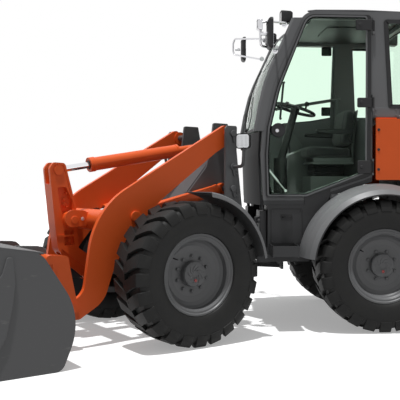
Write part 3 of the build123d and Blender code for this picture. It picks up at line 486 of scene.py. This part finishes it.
tread_rubber = tyre_rubber("tread_rubber")
rim_enamel = enamel("rim_enamel", (0.150, 0.152, 0.156), 0.40, 0.06)
dress(rim_enamel, *["rim_" + w for w in WHEELS])
hub_enamel = enamel("hub_enamel", (0.125, 0.127, 0.131), 0.36, 0.06)
for wheel in WHEELS:
    spin = joints["wheel_" + wheel + "_spin"]
    outward = np.array(spin["axis"], float) * (1 if wheel.endswith("left") else -1)
    forward = np.cross(outward, UP)
    hub = np.array(spin["pos_m"], float) * 1000
    body = "wheel_" + wheel
    piece("tread_" + wheel, tyre_shape(hub, outward, forward), tread_rubber, "tyre", body, crease=28,
        replaces=("tyre_" + wheel,))

    def on_disc(distance, angle, out):
        """A place on the wheel: a distance from the axle, an angle round it, and how far outboard."""
        return hub + outward * out + distance * (np.cos(angle) * forward + np.sin(angle) * UP)

    count, circle = (10, 128.0) if wheel.startswith("front") else (8, 116.0)
    nuts = heads([on_disc(circle, 2 * np.pi * (k + 0.5) / count, 52) for k in range(count)],
        outward, 12, 15)
    small = heads([on_disc(84, 2 * np.pi * k / 6 + 0.3, 102) for k in range(6)], outward, 5, 5)
    cover = lathe([(95, 93.5), (101.5, 90), (102.6, 84), (105, 78), (106, 70), (106, 34),
        (104, 30), (104, 0.2)], hub, outward, 64)
    lock_ring = lathe([(136, 254), (142, 257), (149, 262), (151, 270), (150, 276), (146, 280),
        (140, 281), (136, 280)], hub, outward, 96, ring=True)
    valve = lathe([(0, 5), (20, 5), (21, 3.4), (34, 3.2), (35, 4.6), (44, 4.4), (45, 2)],
        on_disc(222, 0.6, 100), outward - 0.4 * (np.cos(0.6) * forward + np.sin(0.6) * UP), 12)
    plug = lathe([(100, 12), (108, 12), (110, 10), (111, 0.2)], hub - 46 * UP, outward, 20)
    ribs = swirl(hub + outward * 105.5, outward, 78.0)
    piece("hub_cap_" + wheel, [cover, ribs], hub_enamel, "rim_paint", body)
    piece("wheel_nuts_" + wheel, [nuts, small], hub_enamel, "rim_paint", body)
    piece("lock_ring_" + wheel, lock_ring, rim_enamel, "rim_paint", body)
    piece("valve_" + wheel, valve, *BLACK, body)
    piece("level_plug_" + wheel, plug, red_lens, "rim_paint", body)

# ---- body boxes and steps ----
# Folded sheet boxes between the wheels hold the battery and the tanks, with bolted lids and side panels.
# A step of toothed grating is welded under each cab door, and the steering valve and its hoses sit
# ahead of it.


def rim_strip(face, width, y0, y1):
    """A flat strip that follows a rounded outline inside its edge."""
    return carried(rounded(face), ((y0, 0), (y1, 0), (y1, width), (y0, width)), 1, ring=True)


box_enamel = enamel("box_enamel", (0.020, 0.0205, 0.022), 0.5, 0.1)
dress(box_enamel, "body_boxes")
STEP_BACK, STEP_FRONT, BOX_FACE = -350.0, -142.0, 618.0
teeth = [block(STEP_BACK + 12, STEP_FRONT - 12, y, y + 5, 646, 655, 2, 1) for y in range(632, 826, 22)]
teeth += [block(x, x + 5, 624, 830, 646, 652, 2, 1) for x in range(-330, -150, 26)]
piece("step_grating", mirrored(*teeth), frame_enamel, "frame_paint")
lids = join_up(
    rim_strip(oblong(-415, -150, 690, 975, 18), 9, BOX_FACE - 0.5, BOX_FACE + 4),
    block(-330, -232, BOX_FACE, BOX_FACE + 3, 880, 930, 12, 1),
    pipe([(-316, 620, 905), (-316, 640, 905), (-246, 640, 905), (-246, 620, 905)], 5, 12))
piece("box_lids", mirrored(lids), *BLACK)
piece("box_lid_bolts", mirrored(
    heads([(x, BOX_FACE, z) for x in (-400, -165) for z in (705, 960)], LEFT, 7, 5)),
    box_enamel, "frame_paint")
side_panel = plate([(-428, 600, 4), (-428, 1066, 4), (-640, 1142, 4), (-640, 1090, 10), (-596, 955, 60),
    (-520, 802, 60), (-472, 690, 60), (-462, 600, 4)], 608, 616)
piece("body_side_panels", mirrored(
    side_panel, block(-470, -40, 585, 616, 545, 598, 6, 3)), box_enamel, "frame_paint")
valve_parts = (
    block(-127, -70, 330, 560, 650, 960, 10, 4),
    pipe([(-96, 545, 955), (-96, 545, 1020), (-110, 500, 1066)], 13, 30),
    pipe([(-96, 470, 955), (-88, 470, 1030), (-110, 420, 1066)], 13, 30),
    pipe([(-72, 520, 900), (-40, 520, 900), (-40, 520, 720), (-72, 520, 720)], 12, 34),
    pipe([(-72, 430, 860), (-34, 430, 860), (-34, 430, 690), (-72, 430, 690)], 12, 34),
    heads([(-70, y, z) for y in (360, 400) for z in (700, 760, 820, 880)], (1, 0, 0), 13, 12))
piece("steering_valves", mirrored(*valve_parts), box_enamel, "frame_paint")

# ---- rear fenders ----
# Pressed sheet crowns over the rear tyres, sprayed grey, each hung on a bracket from the frame and edged
# with a black rubber strip against stones.
cab_enamel = enamel("cab_enamel", (0.150, 0.153, 0.158), 0.45, 0.05)
CAB_GREY = (cab_enamel, "cab_paint")
# The cab nose gets a darker, duller copy of the cab's grey: painted shade for the shade it stands in.
nose_shaded_grey = enamel("nose_shaded_grey", (0.045, 0.046, 0.048), 0.55, 0.05, specular=0.08)
fender_enamel = enamel("fender_enamel", (0.190, 0.193, 0.198), 0.42, 0.05)
dress(cab_enamel, "cab_frame", "cab_roof")
dress(fender_enamel, "rear_fenders", "front_fenders")
dress(nose_shaded_grey, "cab_nose")


def fender_edge(hub_x, first, last):
    """The left lip strip: a small oval section carried round the wheel's centre between two angles."""
    a = np.radians(np.linspace(first, last, 44))[:, None]
    t = np.linspace(0, 2 * np.pi, 10, endpoint=False)[None, :]
    r, y = 564 + 5.5 * np.cos(t), TRACK_HALF + 205.5 + 4.0 * np.sin(t)
    x, z = hub_x + r * np.cos(a), AXLE_UP + r * np.sin(a)
    return skin(np.stack(np.broadcast_arrays(x, y, z), -1))


piece("rear_fender_edges", mirrored(fender_edge(-BASE, 6, 128)), *BLACK)
piece("rear_fender_brackets", mirrored(
    block(-760, -640, 619, 626, 1010, 1092, 12), heads([(x, 626, z) for x in (-742, -658)
    for z in (1028, 1074)], LEFT, 9, 7)), *CAB_GREY)

# ---- cab shell and glass ----
# The cab is a welded frame of folded sheet and tube on rubber mounts, with a folded post at each front
# corner. Tinted safety glass is clamped into black rubber, and the bowed windshield has a fired black
# border.


def pane(name, tint):
    """Safety glass that lets lamp light through."""
    material, make = new_finish(name)
    body = make("BsdfPrincipled", Base_Color=(*tint, 1), Roughness=0.02, IOR=1.1, Transmission_Weight=1.0,
        Specular_IOR_Level=0.3)
    clear = make("BsdfTransparent", (*tint, 1))
    make("OutputMaterial", Surface=make("MixShader", make("LightPath").outputs["Is Shadow Ray"],
        body, clear))
    return material


green_glass = pane("green_glass", (0.88, 1.0, 0.91))
dress(green_glass, "cab_glass", "door_glass")
dress(frame_enamel, "cab_floor")
WINDSHIELD = np.array([(1606, -74, 62), (1820, -112, 62), (2000, -158, 64), (2120, -204, 66),
    (2300, -289, 64), (2440, -353, 60)], float)
PANE_HALF, PANE_THICK, HALF_CAB = 606.0, 6.0, 610.0


def windshield_x(z, y):
    """Where the bowed pane's outer face lies: a circular arc across the cab whose edge and bow change with
    height as the pane's table says."""
    edge, bow = (np.interp(z, WINDSHIELD[:, 0], WINDSHIELD[:, k]) for k in (1, 2))
    radius = (PANE_HALF ** 2 + bow ** 2) / (2 * bow)
    return edge + bow - radius + np.sqrt(radius ** 2 - np.asarray(y, float) ** 2)


def pane_border(z0, z1, y0, y1, rows=24, columns=8):
    """A thin band on the windshield between two heights and two distances from the middle."""
    z, y = np.broadcast_arrays(np.linspace(z0, z1, rows)[:, None], np.linspace(y0, y1, columns)[None, :])
    x = windshield_x(z, y)
    outer, inner = np.stack([x + 1.2, y, z], -1), np.stack([x - PANE_THICK - 1.2, y, z], -1)
    return skin(np.concatenate([outer, inner[:, ::-1]], 1))


piece("windshield_border", [
    pane_border(1608, 2438, 572, 606), pane_border(1608, 2438, -606, -572),
    pane_border(2404, 2439, -571, 571, 6, 40), pane_border(1607, 1632, -571, 571, 6, 40)], *BLACK)
post_rows = []
for z in np.linspace(1600, 2510, 26):
    edge = np.interp(z, WINDSHIELD[:, 0], WINDSHIELD[:, 1]) - 0.42 * max(z - 2440, 0)
    post_rows.append([(edge + 40, 612, z), (edge + 58, 600, z), (edge + 58, 576, z), (edge + 44, 566, z),
        (edge + 4, 566, z), (edge - 4, 606, z), (edge - 26, 612, z)])
piece("windshield_posts", mirrored(skin(np.array(post_rows, float))), *CAB_GREY)
quarter = [(-1118, 1785, 25), (-1305, 1785, 25), (-1305, 2505, 30), (-1074, 2505, 25)]
piece("quarter_seals", mirrored(rim_strip(quarter, 34, HALF_CAB + 5.5, HALF_CAB + 8.5)), *BLACK)
right_pane = [(-112, 1640, 20), (-142, 1860, 300), (-212, 1990, 500), (-452, 2530, 90), (-975, 2530, 25),
    (-975, 1800, 25), (-719, 1755), (-457, 1731)]
piece("right_window_seal", rim_strip(right_pane, 30, -HALF_CAB - 9.5, -HALF_CAB - 6.5), *BLACK)


BACK_X = -1337.0
back_loop = rounded(oblong(-575, 575, 1740, 2515, 40))
piece("back_window_seal",
    carried(back_loop, ((BACK_X - 3, 0), (BACK_X + 0.5, 0), (BACK_X + 0.5, 34), (BACK_X - 3, 34)),
    ring=True), *BLACK)
piece("right_window_hinges", [block(-924, -826, -HALF_CAB - 22, -HALF_CAB - 9, z, z + 84,
    10) for z in (1835, 2420)], *BLACK)
piece("roof_gutters", mirrored(
    pipe([(-455, 590, 2566), (-520, 590, 2574), (-900, 590, 2579), (-1325, 590, 2568)], 7, 60)), *CAB_GREY)
hatch = rounded([(-640, -330, 60), (-640, 330, 60), (-1150, 330, 60), (-1150, -330, 60)])
piece("roof_hatch", carried(hatch, ((2574, 0), (2588, 0), (2594, 6)), 2), *CAB_GREY)
piece("cab_shelf_plates", mirrored(
    block(-1204, -985, 610.5, 616, 1716, 1792, 8), heads([(x, 616, z) for x in (-1180, -1010)
    for z in (1732, 1776)], LEFT, 7, 5)), *CAB_GREY)

# ---- cab door ----
# A frameless pane in a slim black rim, hung on three moulded hinge blocks clamped through the glass. A grey
# trim follows its edge, and a round lock case carries the push button.
dress(black_plastic, "door_frame", "steering_column")
door_pane = [(-122, 1074, 20), (-112, 1408), (-127, 1624, 400), (-204, 1948, 700), (-441, 2526, 100),
    (-932, 2526, 25), (-932, 1264, 25), (-440, 1074, 40)]
DOOR_FACE = HALF_CAB + 32.0
piece("door_trim", rim_strip(door_pane, 13, DOOR_FACE - 0.5, DOOR_FACE + 2.5), *CAB_GREY, "cab_door")
blocks = []
for x0, z0, z1 in ((-836, 2409, 2495), (-851, 1790, 1868), (-853, 1256, 1362)):
    blocks.append(block(-966, x0, DOOR_FACE - 6, DOOR_FACE + 12, z0, z1, 12, 3))
    blocks.append(lathe([(0, 15), (4, 15), (7, 12), (7.6, 0.2)],
        (x0 - 34, DOOR_FACE + 11, (z0 + z1) / 2), LEFT, 24))
piece("door_hinge_blocks", blocks, *BLACK, "cab_door")
piece("door_button",
    lathe([(0, 15), (9, 15), (12, 12.5), (12.6, 0.2)], (-197, HALF_CAB + 47, 1598), LEFT, 28),
    *STEEL, "cab_door")
piece("door_lock_ring", lathe([(0, 55), (6, 57), (12, 55), (12, 49), (0, 49)], (-208, HALF_CAB + 36, 1603),
    LEFT, 48, ring=True), *BLACK, "cab_door")
piece("door_pull",
    pipe([(-235, 600, 1700), (-235, 565, 1700), (-262, 565, 1990), (-262, 600, 1990)], 9, 22),
    *BLACK, "cab_door")

# ---- operator's place ----
# A sprung seat stands on the sloping floor: foam cushions in a woven cover with sewn channels, over a
# rubber bellows. A console and a rail line the far side, under a headliner drawn black as painted shade
# under the roof. The levers and pedals are black, and a gas strut holds the side hatch.


def foam(profile, half, seams):
    """A crowned cushion: its side profile carried across, shrinking towards its ends by
    (1 - |y / half|^power)^(1 / power), and pinched in by a narrow bell curve at each seam."""
    sink, power, rows = 7.0, 3.4, 61
    loop = rounded(profile, 10)
    centre = loop.mean(0)
    y = half * np.sin(np.linspace(-0.4999, 0.4999, rows) * np.pi)
    size = (1 - np.abs(y / half) ** power) ** (1 / power)
    pinch = sum(np.exp(-((y - s) / 6.0) ** 2) for s in seams) * sink
    loops = []
    for here, s, p in zip(y, size, pinch):
        shape = centre + (inset(loop, p) - centre) * (0.80 + 0.20 * s if s > 0.05 else 0.78)
        shape = centre + (shape - centre) * max(s, 0.02) ** 0.35
        loops.append(np.insert(shape, 1, here, 1))
    return skin(loops)


def woven(name, colour):
    """Seat cover: a fine basket weave of two crossed waves in object space, with painted shade in its
    hollows and painted light where it stands highest.
    """
    material, make = new_finish(name)
    here = make("TexCoord").outputs["Object"]
    waves = [make("TexWave", Vector=here, Scale=95.0, Distortion=0.6, _wave_type="BANDS",
        _bands_direction=direction) for direction in ("X", "Y")]
    weave = make("Math", *[wave.outputs["Fac"] for wave in waves], _operation="MULTIPLY")
    # Painted shade and light: the weave's low places are darkened and its high places lightened.
    shade = two_tone(make, weave, [c * 0.6 for c in colour], [c * 1.5 for c in colour])
    relief = make("Bump", Height=weave, Strength=0.5, Distance=0.0012)
    body = make("BsdfPrincipled", Base_Color=shade, Normal=relief, Roughness=0.85, Sheen_Weight=0.25,
        Sheen_Roughness=0.5)
    make("OutputMaterial", Surface=body)
    return material


cab_lining = enamel("cab_lining", (0.190, 0.200, 0.196), 0.6, 0.08)
# The headliner is drawn black: painted shade under the cab's roof.
piece("headliner", [
    block(-1290, -480, -585, 585, 2528, 2538, 6, 3), block(-1200, -700, -200, 200, 2520, 2529, 6, 3)],
    *BLACK)
piece("console_rail", [
    pipe([(-371, -560, 1888), (-371, -540, 1890), (-982, -540, 1989), (-982, -560, 1989)], 15, 20),
    pipe([(-960, -540, 1985), (-960, -540, 1400)], 16, 10),
    plate([(-600, 1440, 30), (-440, 1440, 30), (-425, 1600, 60), (-470, 1668, 60), (-545, 1648, 60),
        (-622, 1538, 60)], -560, -530, 6)], cab_lining, "cab_paint")
seat_cover = woven("seat_cover", (0.022, 0.022, 0.024))
made = piece("seat_pad",
    foam([(-922, 1403, 25), (-540, 1403, 30), (-522, 1500, 48), (-700, 1492, 200), (-922, 1482, 30)],
    250, (-165, 165)), seat_cover, "seat_vinyl", crease=60, replaces=("seat_cushion",))
made = piece("seat_backrest",
    foam([(-922, 1505, 20), (-826, 1512, 35), (-850, 1700, 200), (-872, 1820, 40), (-956, 1820, 40)],
    240, (-150, 150)), seat_cover, "seat_vinyl", crease=60, replaces=("seat_back",))
plan = rounded(oblong(-876, -594, -156, 156, 30))
folds = [(1238 + 104 * t, 10 * (k % 2)) for k, t in enumerate(np.linspace(0, 1, 15))]
piece("seat_bellows", carried(plan, folds, 2), *BLACK)
piece("seat_stand_and_console", [
    plate([(-900, 1192, 6), (-560, 1076, 6), (-560, 1238, 14), (-900, 1238, 14)], -190, 190, 5),
    block(-936, -570, -212, 212, 1342, 1362, 8, 4), block(-920, -585, -206, -170, 1362, 1400, 6, 3),
    block(-920, -585, 170, 206, 1362, 1400, 6, 3),
    plate([(-936, 1362, 4), (-926, 1362, 4), (-926, 1500, 20), (-966, 1812, 8), (-976, 1812, 8),
        (-936, 1500, 20)], -196, 196, 3),
    plate([(-960, 1216, 6), (-440, 1042, 6), (-420, 1042, 6), (-420, 1440, 34), (-640, 1520, 60),
        (-960, 1520, 24)], -500, -270, 12)], cab_lining, "cab_paint", replaces=("seat_base",))
rests = [plate([(-880, 1596, 18), (-590, 1606, 20), (-590, 1640, 16), (-880, 1640, 16)], y, y + 56, 6)
    for y in (256, -312)]
rests += [pipe([(-862, y, 1604), (-880, y, 1560), (-905, y, 1520)], 11, 30) for y in (280, -280)]
rests.append(pipe([(-470, -340, 1430), (-462, -340, 1520), (-448, -340, 1570)], 8, 60))
rests.append(lathe([(0, 8), (3, 17), (26, 21), (52, 19), (64, 12), (67, 0.2)], (-450, -340, 1562),
    (0.22, 0, 1), 24))
piece("armrests_and_lever", rests, *BLACK)
wheel_up = np.array([-0.289, 0.0, 0.957])
knobs = [lathe([(8, 9), (34, 9), (40, 20), (58, 22), (70, 14), (73, 0.2)],
    (-457.0 + 60 * side, -162 * side, 1832 + 18 * side), wheel_up, 24) for side in (-1, 1)]
PEDALS = (-190, -80, 110)
pedals = [plate([(-235, 1062, 5), (-212, 1150, 5), (-204, 1148, 5), (-227, 1060, 5)], y, y + 78, 2)
    for y in PEDALS]
pedals += [pipe([(-222, y + 39, 1080), (-185, y + 39, 1070), (-165, y + 39, 1042)], 8, 20) for y in PEDALS]
piece("wheel_knobs_and_pedals", knobs + pedals, *BLACK)
STRUT_TOP, STRUT_FOOT = np.array([-153, 500, 1282]), np.array([-292, 500, 1117])
strut = [lathe(profile, STRUT_TOP, STRUT_FOOT - STRUT_TOP, sides)
    for profile, sides in (([(0, 4), (2, 12), (118, 12), (121, 6)], 20),
    ([(118, 6), (212, 6), (214, 0.3)], 16))]
strut += [lathe([(-9, 12), (9, 12)], end, LEFT, 20) for end in (STRUT_TOP, STRUT_FOOT)]
piece("gas_strut", strut, *STEEL)
piece("grab_rail",
    pipe([(-338, -560, 2248), (-316, -500, 2248), (-240, -500, 1828), (-250, -560, 1828)], 11, 40), *STEEL)
piece("grab_rail_mounts", [lathe([(0, 22), (8, 22), (16, 13), (24, 12)], (x, -578, z), LEFT, 24)
    for x, z in ((-338, 2248), (-250, 1828))], *BLACK)

# ---- lamps, mirrors and wiper ----
# Work lamps on the roof's edge and mirrors on bent steel tube are bolted to the cab. Lamp cases and mirror
# shells are moulded in black, with clear lenses and silvered glass. One wiper sweeps the windshield.
clear_lens = enamel("clear_lens", (0.72, 0.74, 0.75), 0.12, 0.03, specular=0.7)
silvered = enamel("silvered", (0.80, 0.82, 0.84), 0.05, 0.01, bump=0.0, metal=1.0)
tube_steel = enamel("tube_steel", (0.62, 0.62, 0.64), 0.28, 0.05, metal=1.0)
cases, lenses = [], []
for face, turn in ((-255.0, 1.0), (-1515.0, -1.0)):
    for y in (450.0, -450.0):
        square = rounded(oblong(y - turn * 52, y + turn * 52, 2492, 2595, 16))
        cases.append(carried(square, [(face + turn * x, i)
            for x, i in ((-96, 22), (-92, 12), (-78, 4), (-20, 0), (0, 0), (0, 7), (-8, 8))]))
        lenses.append(carried(inset(square, 8), [(face + turn * x, i)
            for x, i in ((-9, 0), (-4, 0), (-2, 3))]))
        cases.append(pipe([(face - turn * 60, y, 2534), (face - turn * 150, y, 2534),
            (face - turn * 176, y, 2540)], 9, 20))
piece("roof_lamp_cases", cases, *BLACK, replaces=("roof_lamps",))
piece("roof_lamp_lenses", lenses, clear_lens, "glass")
near_route = [(-188, 606, 2240), (-188, 690, 2240), (-38, 848, 2236), (-34, 850, 2412), (-96, 850, 2424),
    (-250, 700, 2446), (-262, 606, 2452)]
far_route = [(-236, -606, 2380), (-236, -690, 2390), (6, -898, 2468), (18, -900, 2500), (18, -900, 2576),
    (2, -898, 2626), (-240, -690, 2590), (-262, -606, 2560)]
tubes, shells, glasses = [], [], []
for route, y, z, wide, high, back in ((near_route, 850, 2328, 80, 118, -128),
        (far_route, -900, 2520, 80, 120, -104)):
    tubes.append(pipe(route, 9, 34))
    tubes += [lathe([(0, 22), (5, 22), (8, 14)], end, (0, np.sign(y), 0), 24)
        for end in (route[0], route[-1])]
    tubes.append(lathe([(-26, 15), (26, 15)], (np.mean([back + 40, route[2][0]]), y, z), (1, 0, 0), 20))
    loop = rounded(oblong(y - wide, y + wide, z - high, z + high, 30))
    shells.append(carried(loop, ((back + 4, 3), (back, 2), (back + 2, 0), (back + 18, 0), (back + 30, 8),
        (back + 37, 22), (back + 40, 44))))
    glasses.append(carried(inset(loop, 9), ((back - 2, 1), (back + 3, 0))))
small = rounded(oblong(800, 884, 2352, 2444, 14))
tubes.append(carried(small, ((-50, 3), (-48, 0), (-30, 0), (-16, 6), (-12, 20))))
glasses.append(carried(inset(small, 6), ((-52, 1), (-49, 0))))
piece("mirror_tubes", tubes, tube_steel, "pin_steel")
piece("mirror_shells", shells, *BLACK, replaces=("mirrors",))
piece("mirror_glasses", glasses, silvered, "chrome")


def on_pane(y, z, out):
    """A place in front of the windshield by a distance."""
    return (float(windshield_x(z, y)) + out, y, z)


blade = [on_pane(-40 - 150 * t, 1720 + 480 * t, 9) for t in np.linspace(0, 1, 12)]
piece("wiper", [
    pipe([on_pane(60, 1640, 12), on_pane(20, 1790, 30), on_pane(-114, 1958, 22)], 7, 40),
    pipe(blade, 5, 10, 10),
    lathe([(-14, 20), (8, 20), (14, 15), (15, 0.2)], on_pane(60, 1640, 4), (1, 0, 0.2), 24)], *BLACK)

# ---- centre joint and steering ----
# A cast knuckle joins the two halves: it turns on a vertical pin for steering, and the front frame
# rocks on its long round trunnion. Two cylinders steer it, with hard-chromed rods.
pin_steel = enamel("pin_steel", (0.50, 0.50, 0.52), 0.35, 0.06, metal=1.0)
chrome = enamel("chrome", (0.78, 0.79, 0.81), 0.12, 0.02, bump=0.0001, metal=1.0)
dress(pin_steel, "rocker_pin", "link_pin")
dress(orange_enamel, "tip_pins")
dress(chrome, "tilt_rod", "lift_rods", "steer_rod_left", "steer_rod_right")
piece("steering_pin_cap", [
    lathe([(0, 52), (10, 52), (13, 48), (13.6, 0.2)], (0, 0, 750), UP, 40),
    heads([(34 * math.cos(a), 34 * math.sin(a), 763) for a in np.radians([30, 150, 270])], UP, 8, 7)],
    pin_steel, "pin_steel")

# ---- front frame and tower ----
# Upright plates welded on the front frame carry the loader's pins: two outer plates and two wide
# gussets, sprayed grey. Each pin is held by a bolted keeper plate.
tower_enamel = enamel("tower_enamel", (0.100, 0.102, 0.106), 0.45, 0.05)
TOWER_GREY = (tower_enamel, "frame_paint", "front_frame")
dress(tower_enamel, "tower")
TOWER_X, BOOM_PIN, LAMP_PIN, LIFT_PIN = 445, 1577, 1311, 1136
keepers, keeper_bolts = [], []
for z in (BOOM_PIN, LAMP_PIN, LIFT_PIN):
    keepers.append(lathe([(0, 27), (5, 27), (7.5, 24), (8, 0.2)], (TOWER_X, 457.6, z), LEFT, 32))
    keepers.append(plate([(398, z - 74, 10), (440, z - 74, 10), (452, z - 30, 12), (432, z - 18, 12),
        (398, z - 18, 10)], 450, 459, 1.2))
    keeper_bolts += [(414, 459, z - 58), (414, 459, z - 34)]
piece("tower_pin_keepers", mirrored(*keepers), *TOWER_GREY)
piece("tower_pin_bolts", mirrored(heads(keeper_bolts, LEFT, 8, 7)), *TOWER_GREY)
piece("tower_pin_collars", mirrored(
    lathe([(0, 46), (8, 46), (11, 40), (11, 25)], (TOWER_X, 235, BOOM_PIN), LEFT, 36),
    lathe([(0, 40), (8, 40), (10, 36), (10, 25)], (TOWER_X, 430, BOOM_PIN), (0, -1, 0), 36)), *TOWER_GREY)

# ---- front fenders ----
# Sheet rolled over each front tyre hangs on a stay from the tower. It is sprayed the same grey as the
# rear fenders and edged with the same rubber strip.
piece("front_fender_edges", mirrored(fender_edge(BASE, 98, 171)), *BLACK, "front_frame")

# ---- headlamps ----
# Rounded-square driving lamps stand on bent tube from the tower. A black moulded case holds a reflector
# behind a ribbed clear lens.
LAMP_X, LAMP_Y, LAMP_Z, LAMP_HALF = 450.0, 600.0, 1509.0, 60.0
LAMP_TURN = math.radians(32)
square = rounded(oblong(-LAMP_HALF, LAMP_HALF, LAMP_Z - LAMP_HALF, LAMP_Z + LAMP_HALF, 26))


def turned_out(part):
    """A lamp drawn about its own upright axis, turned outboard by a fixed angle and stood in its place."""
    points, faces = part
    x, y, z = np.asarray(points).T
    c, s = math.cos(LAMP_TURN), math.sin(LAMP_TURN)
    return np.column_stack([LAMP_X + c * x - s * y, LAMP_Y + s * x + c * y, z]), faces


case = carried(square, ((-44, 40), (-40, 26), (-26, 10), (-8, 1.5), (0, 0), (22, 0), (22, 6), (15, 7)))
piece("headlamp_cases", mirrored(turned_out(case)), *BLACK, "front_frame", replaces=("headlamps",))
ribs = [block(17, 21.5, y, y + 6, LAMP_Z - 46, LAMP_Z + 46, 0.8) for y in range(-47, 44, 11)]
lens_plate = carried(inset(square, 7), ((14, 0), (18, 0), (20, 2.5)))
piece("headlamp_lenses", mirrored(turned_out(lens_plate)), silvered, "chrome", "front_frame")
piece("headlamp_lens_ribs", mirrored(turned_out(join_up(*ribs))), clear_lens, "glass", "front_frame")
stalk = (
    pipe([(TOWER_X, 452, LAMP_PIN), (TOWER_X, 585, LAMP_PIN), (LAMP_X, LAMP_Y, 1400),
        (LAMP_X, LAMP_Y, 1456)], 13, 60, 20, 9),
    lathe([(0, 24), (8, 24), (10, 20), (10, 13)], (TOWER_X, 451, LAMP_PIN), LEFT, 28),
    block(434, 466, 582, 618, 1436, 1462))
piece("headlamp_stalks", mirrored(*stalk), *TOWER_GREY)

# ---- boom, rocker and cylinders ----
# Two thick steel arms on one cross tube lift the bucket, and a cast rocker turns it, all sprayed orange.
# The cylinders are honed tube with screwed glands, and their rods are hard-chromed.
TILT, LIFT = ((436, 1489), (1758, 1277)), ((TOWER_X, LIFT_PIN), (1300, 935))
arm_pins = [lathe([(0, 40), (5, 40), (7.5, 37), (8, 26)], (x, y, z), LEFT, 36)
    for x, y, z in ((TOWER_X, 400, BOOM_PIN), (1300, 408, 935))]
piece("arm_pin_washers", mirrored(*arm_pins), *ORANGE, "boom")
keeper = (
    plate([(1748, 990, 66), (1566, 974, 30), (1560, 866, 30), (1742, 842, 66)], 132.3, 141, 2),
    lathe([(0, 30), (6, 30), (8, 27), (8.6, 0.2)], (1668, 139.5, 907), LEFT, 32))
piece("rocker_pin_keepers", mirrored(*keeper), *ORANGE, "boom")
rocker_edge = [(1831, 1290, 40), (1791, 881, 60), (1776, 780, 20), (1606, 780, 20), (1622, 1000, 60),
    (1707, 1330, 30), (1800, 1335, 30)]
pocket_ribs = [block(x, x + 9, 18, 58, z, z + 9, 2, 1) for x, z in ((1690, 1100), (1686, 1000))]
pocket_bolts = heads([(1700, 18, 1060), (1700, 18, 1020), (1690, 18, 780), (1665, 18, 745)], LEFT, 15, 12)
piece("rocker_rims", mirrored(
    rim_strip(rocker_edge, 15, 59, 65), pocket_bolts, *pocket_ribs), *ORANGE, "rocker")
piece("rocker_keeper_bolts", mirrored(heads([(1604, 141, 914)], LEFT, 9, 8)), *STEEL, "boom")


def along(base, tip, y, profile, ring=False):
    """A turned piece about the line from one (x, z) pin towards another, at a distance y across."""
    return lathe(profile, (base[0], y, base[1]), (tip[0] - base[0], 0, tip[1] - base[1]), 40, ring=ring)


def sleeve(base, tip, y, inner, outer, start, stop):
    """A sleeve round a cylinder's line between two radii, with its outer edges broken."""
    return along(base, tip, y, [(start, inner), (start, outer - 1.5), (start + 1.5, outer),
        (stop - 1.5, outer), (stop, outer - 1.5), (stop, inner)], ring=True)


piece("tilt_cylinder_glands", [
    sleeve(*TILT, 0, 51.5, 57, 1020, 1067), sleeve(*TILT, 0, 51.5, 55, 262, 282),
    along(*TILT, 0, [(255, 20), (258, 38), (264, 46), (264, 20)])], *ORANGE, "tilt_barrel")
piece("lift_cylinder_glands", mirrored(
    sleeve(*LIFT, 300, 44.5, 50, 748, 791), sleeve(*LIFT, 300, 44.5, 48, 56, 74)), *ORANGE, "lift_barrels")
piece("tilt_rod_wiper", sleeve(*TILT, 0, 25.3, 33, 1067, 1074), *BLACK, "tilt_barrel")
piece("lift_rod_wipers", mirrored(sleeve(*LIFT, 300, 25.3, 32, 791, 798)), *BLACK, "lift_barrels")
tube_rings = [lathe([(0, 92), (14, 92), (20, 84), (20, 79)], (1495, y, 903), (0, s, 0), 48)
    for y, s in ((360, -1), (-360, 1))]
piece("cross_tube_welds", tube_rings, *ORANGE, "boom")

# ---- coupler and bucket ----
# The coupler is a welded orange carrier that hooks the bucket. The bucket is rolled wear plate in grey,
# with a thick cutting edge and welded side strips, and its inside is scuffed by the load.


def scuffed(name, colour, bare):
    """Worn paint: enamel rubbed to bare metal in long patches where noise stretched along the bucket's
    floor passes a level, with the rubbed places smoother and brighter."""
    material, make = new_finish(name)
    here = make("TexCoord").outputs["Object"]
    stretch = make("Mapping", here, Scale=(2.0, 2.0, 7.0))
    patches = make("TexNoise", Vector=stretch, Scale=2.6, Detail=8.0, Roughness=0.7)
    fine = make("TexNoise", Vector=here, Scale=120.0, Detail=3.0, Roughness=0.6)
    worn = two_tone(make, patches, (0, 0, 0), (1, 1, 1), 0.62, 0.72)
    shade = make("MixRGB", worn, (*colour, 1), (*bare, 1))
    gloss = make("MapRange", worn, To_Min=0.52, To_Max=0.36)
    relief = make("Bump", Height=fine, Strength=0.3, Distance=0.0008)
    body = make("BsdfPrincipled", Base_Color=shade, Roughness=gloss, Normal=relief, Specular_IOR_Level=0.4)
    make("OutputMaterial", Surface=body)
    return material


bucket_enamel = scuffed("bucket_enamel", (0.108, 0.109, 0.112), (0.17, 0.17, 0.17))
dress(bucket_enamel, "bucket")
BUCKET_HALF, EDGE_X = 900.0, 2870
side_strip = [(2396, 736, 14), (2381, 591, 200), (2400, 438, 200), (2441, 257, 200), (2540, 90, 150),
    (2890, 44, 8), (2462, 640, 60), (2432, 738, 10)]
piece("bucket_side_strips", mirrored(
    plate(side_strip, BUCKET_HALF - 1, BUCKET_HALF + 13, 2)), bucket_enamel, "bucket_paint", "bucket")
top_bar = plate([(2200, 742, 2), (2470, 786, 2), (2484, 800, 4), (2478, 803, 3), (2200, 756, 2)],
    -896, 896, 2)
piece("bucket_top_bar", top_bar, bucket_enamel, "bucket_paint", "bucket")
piece("bucket_edge_bolts",
    heads([(EDGE_X, y, 22) for y in range(-800, 801, 160)], UP, 13, 7), *STEEL, "bucket")
TIP_X, TIP_Z, TIP_CIRCLE = 1838, 298, 32
tip_bolts = heads([(TIP_X + TIP_CIRCLE * math.cos(a), 446, TIP_Z + TIP_CIRCLE * math.sin(a))
    for a in np.radians([90, 210, 330])], LEFT, 8, 6)
piece("tip_pin_bolts", mirrored(tip_bolts), *ORANGE, "tip_pins")
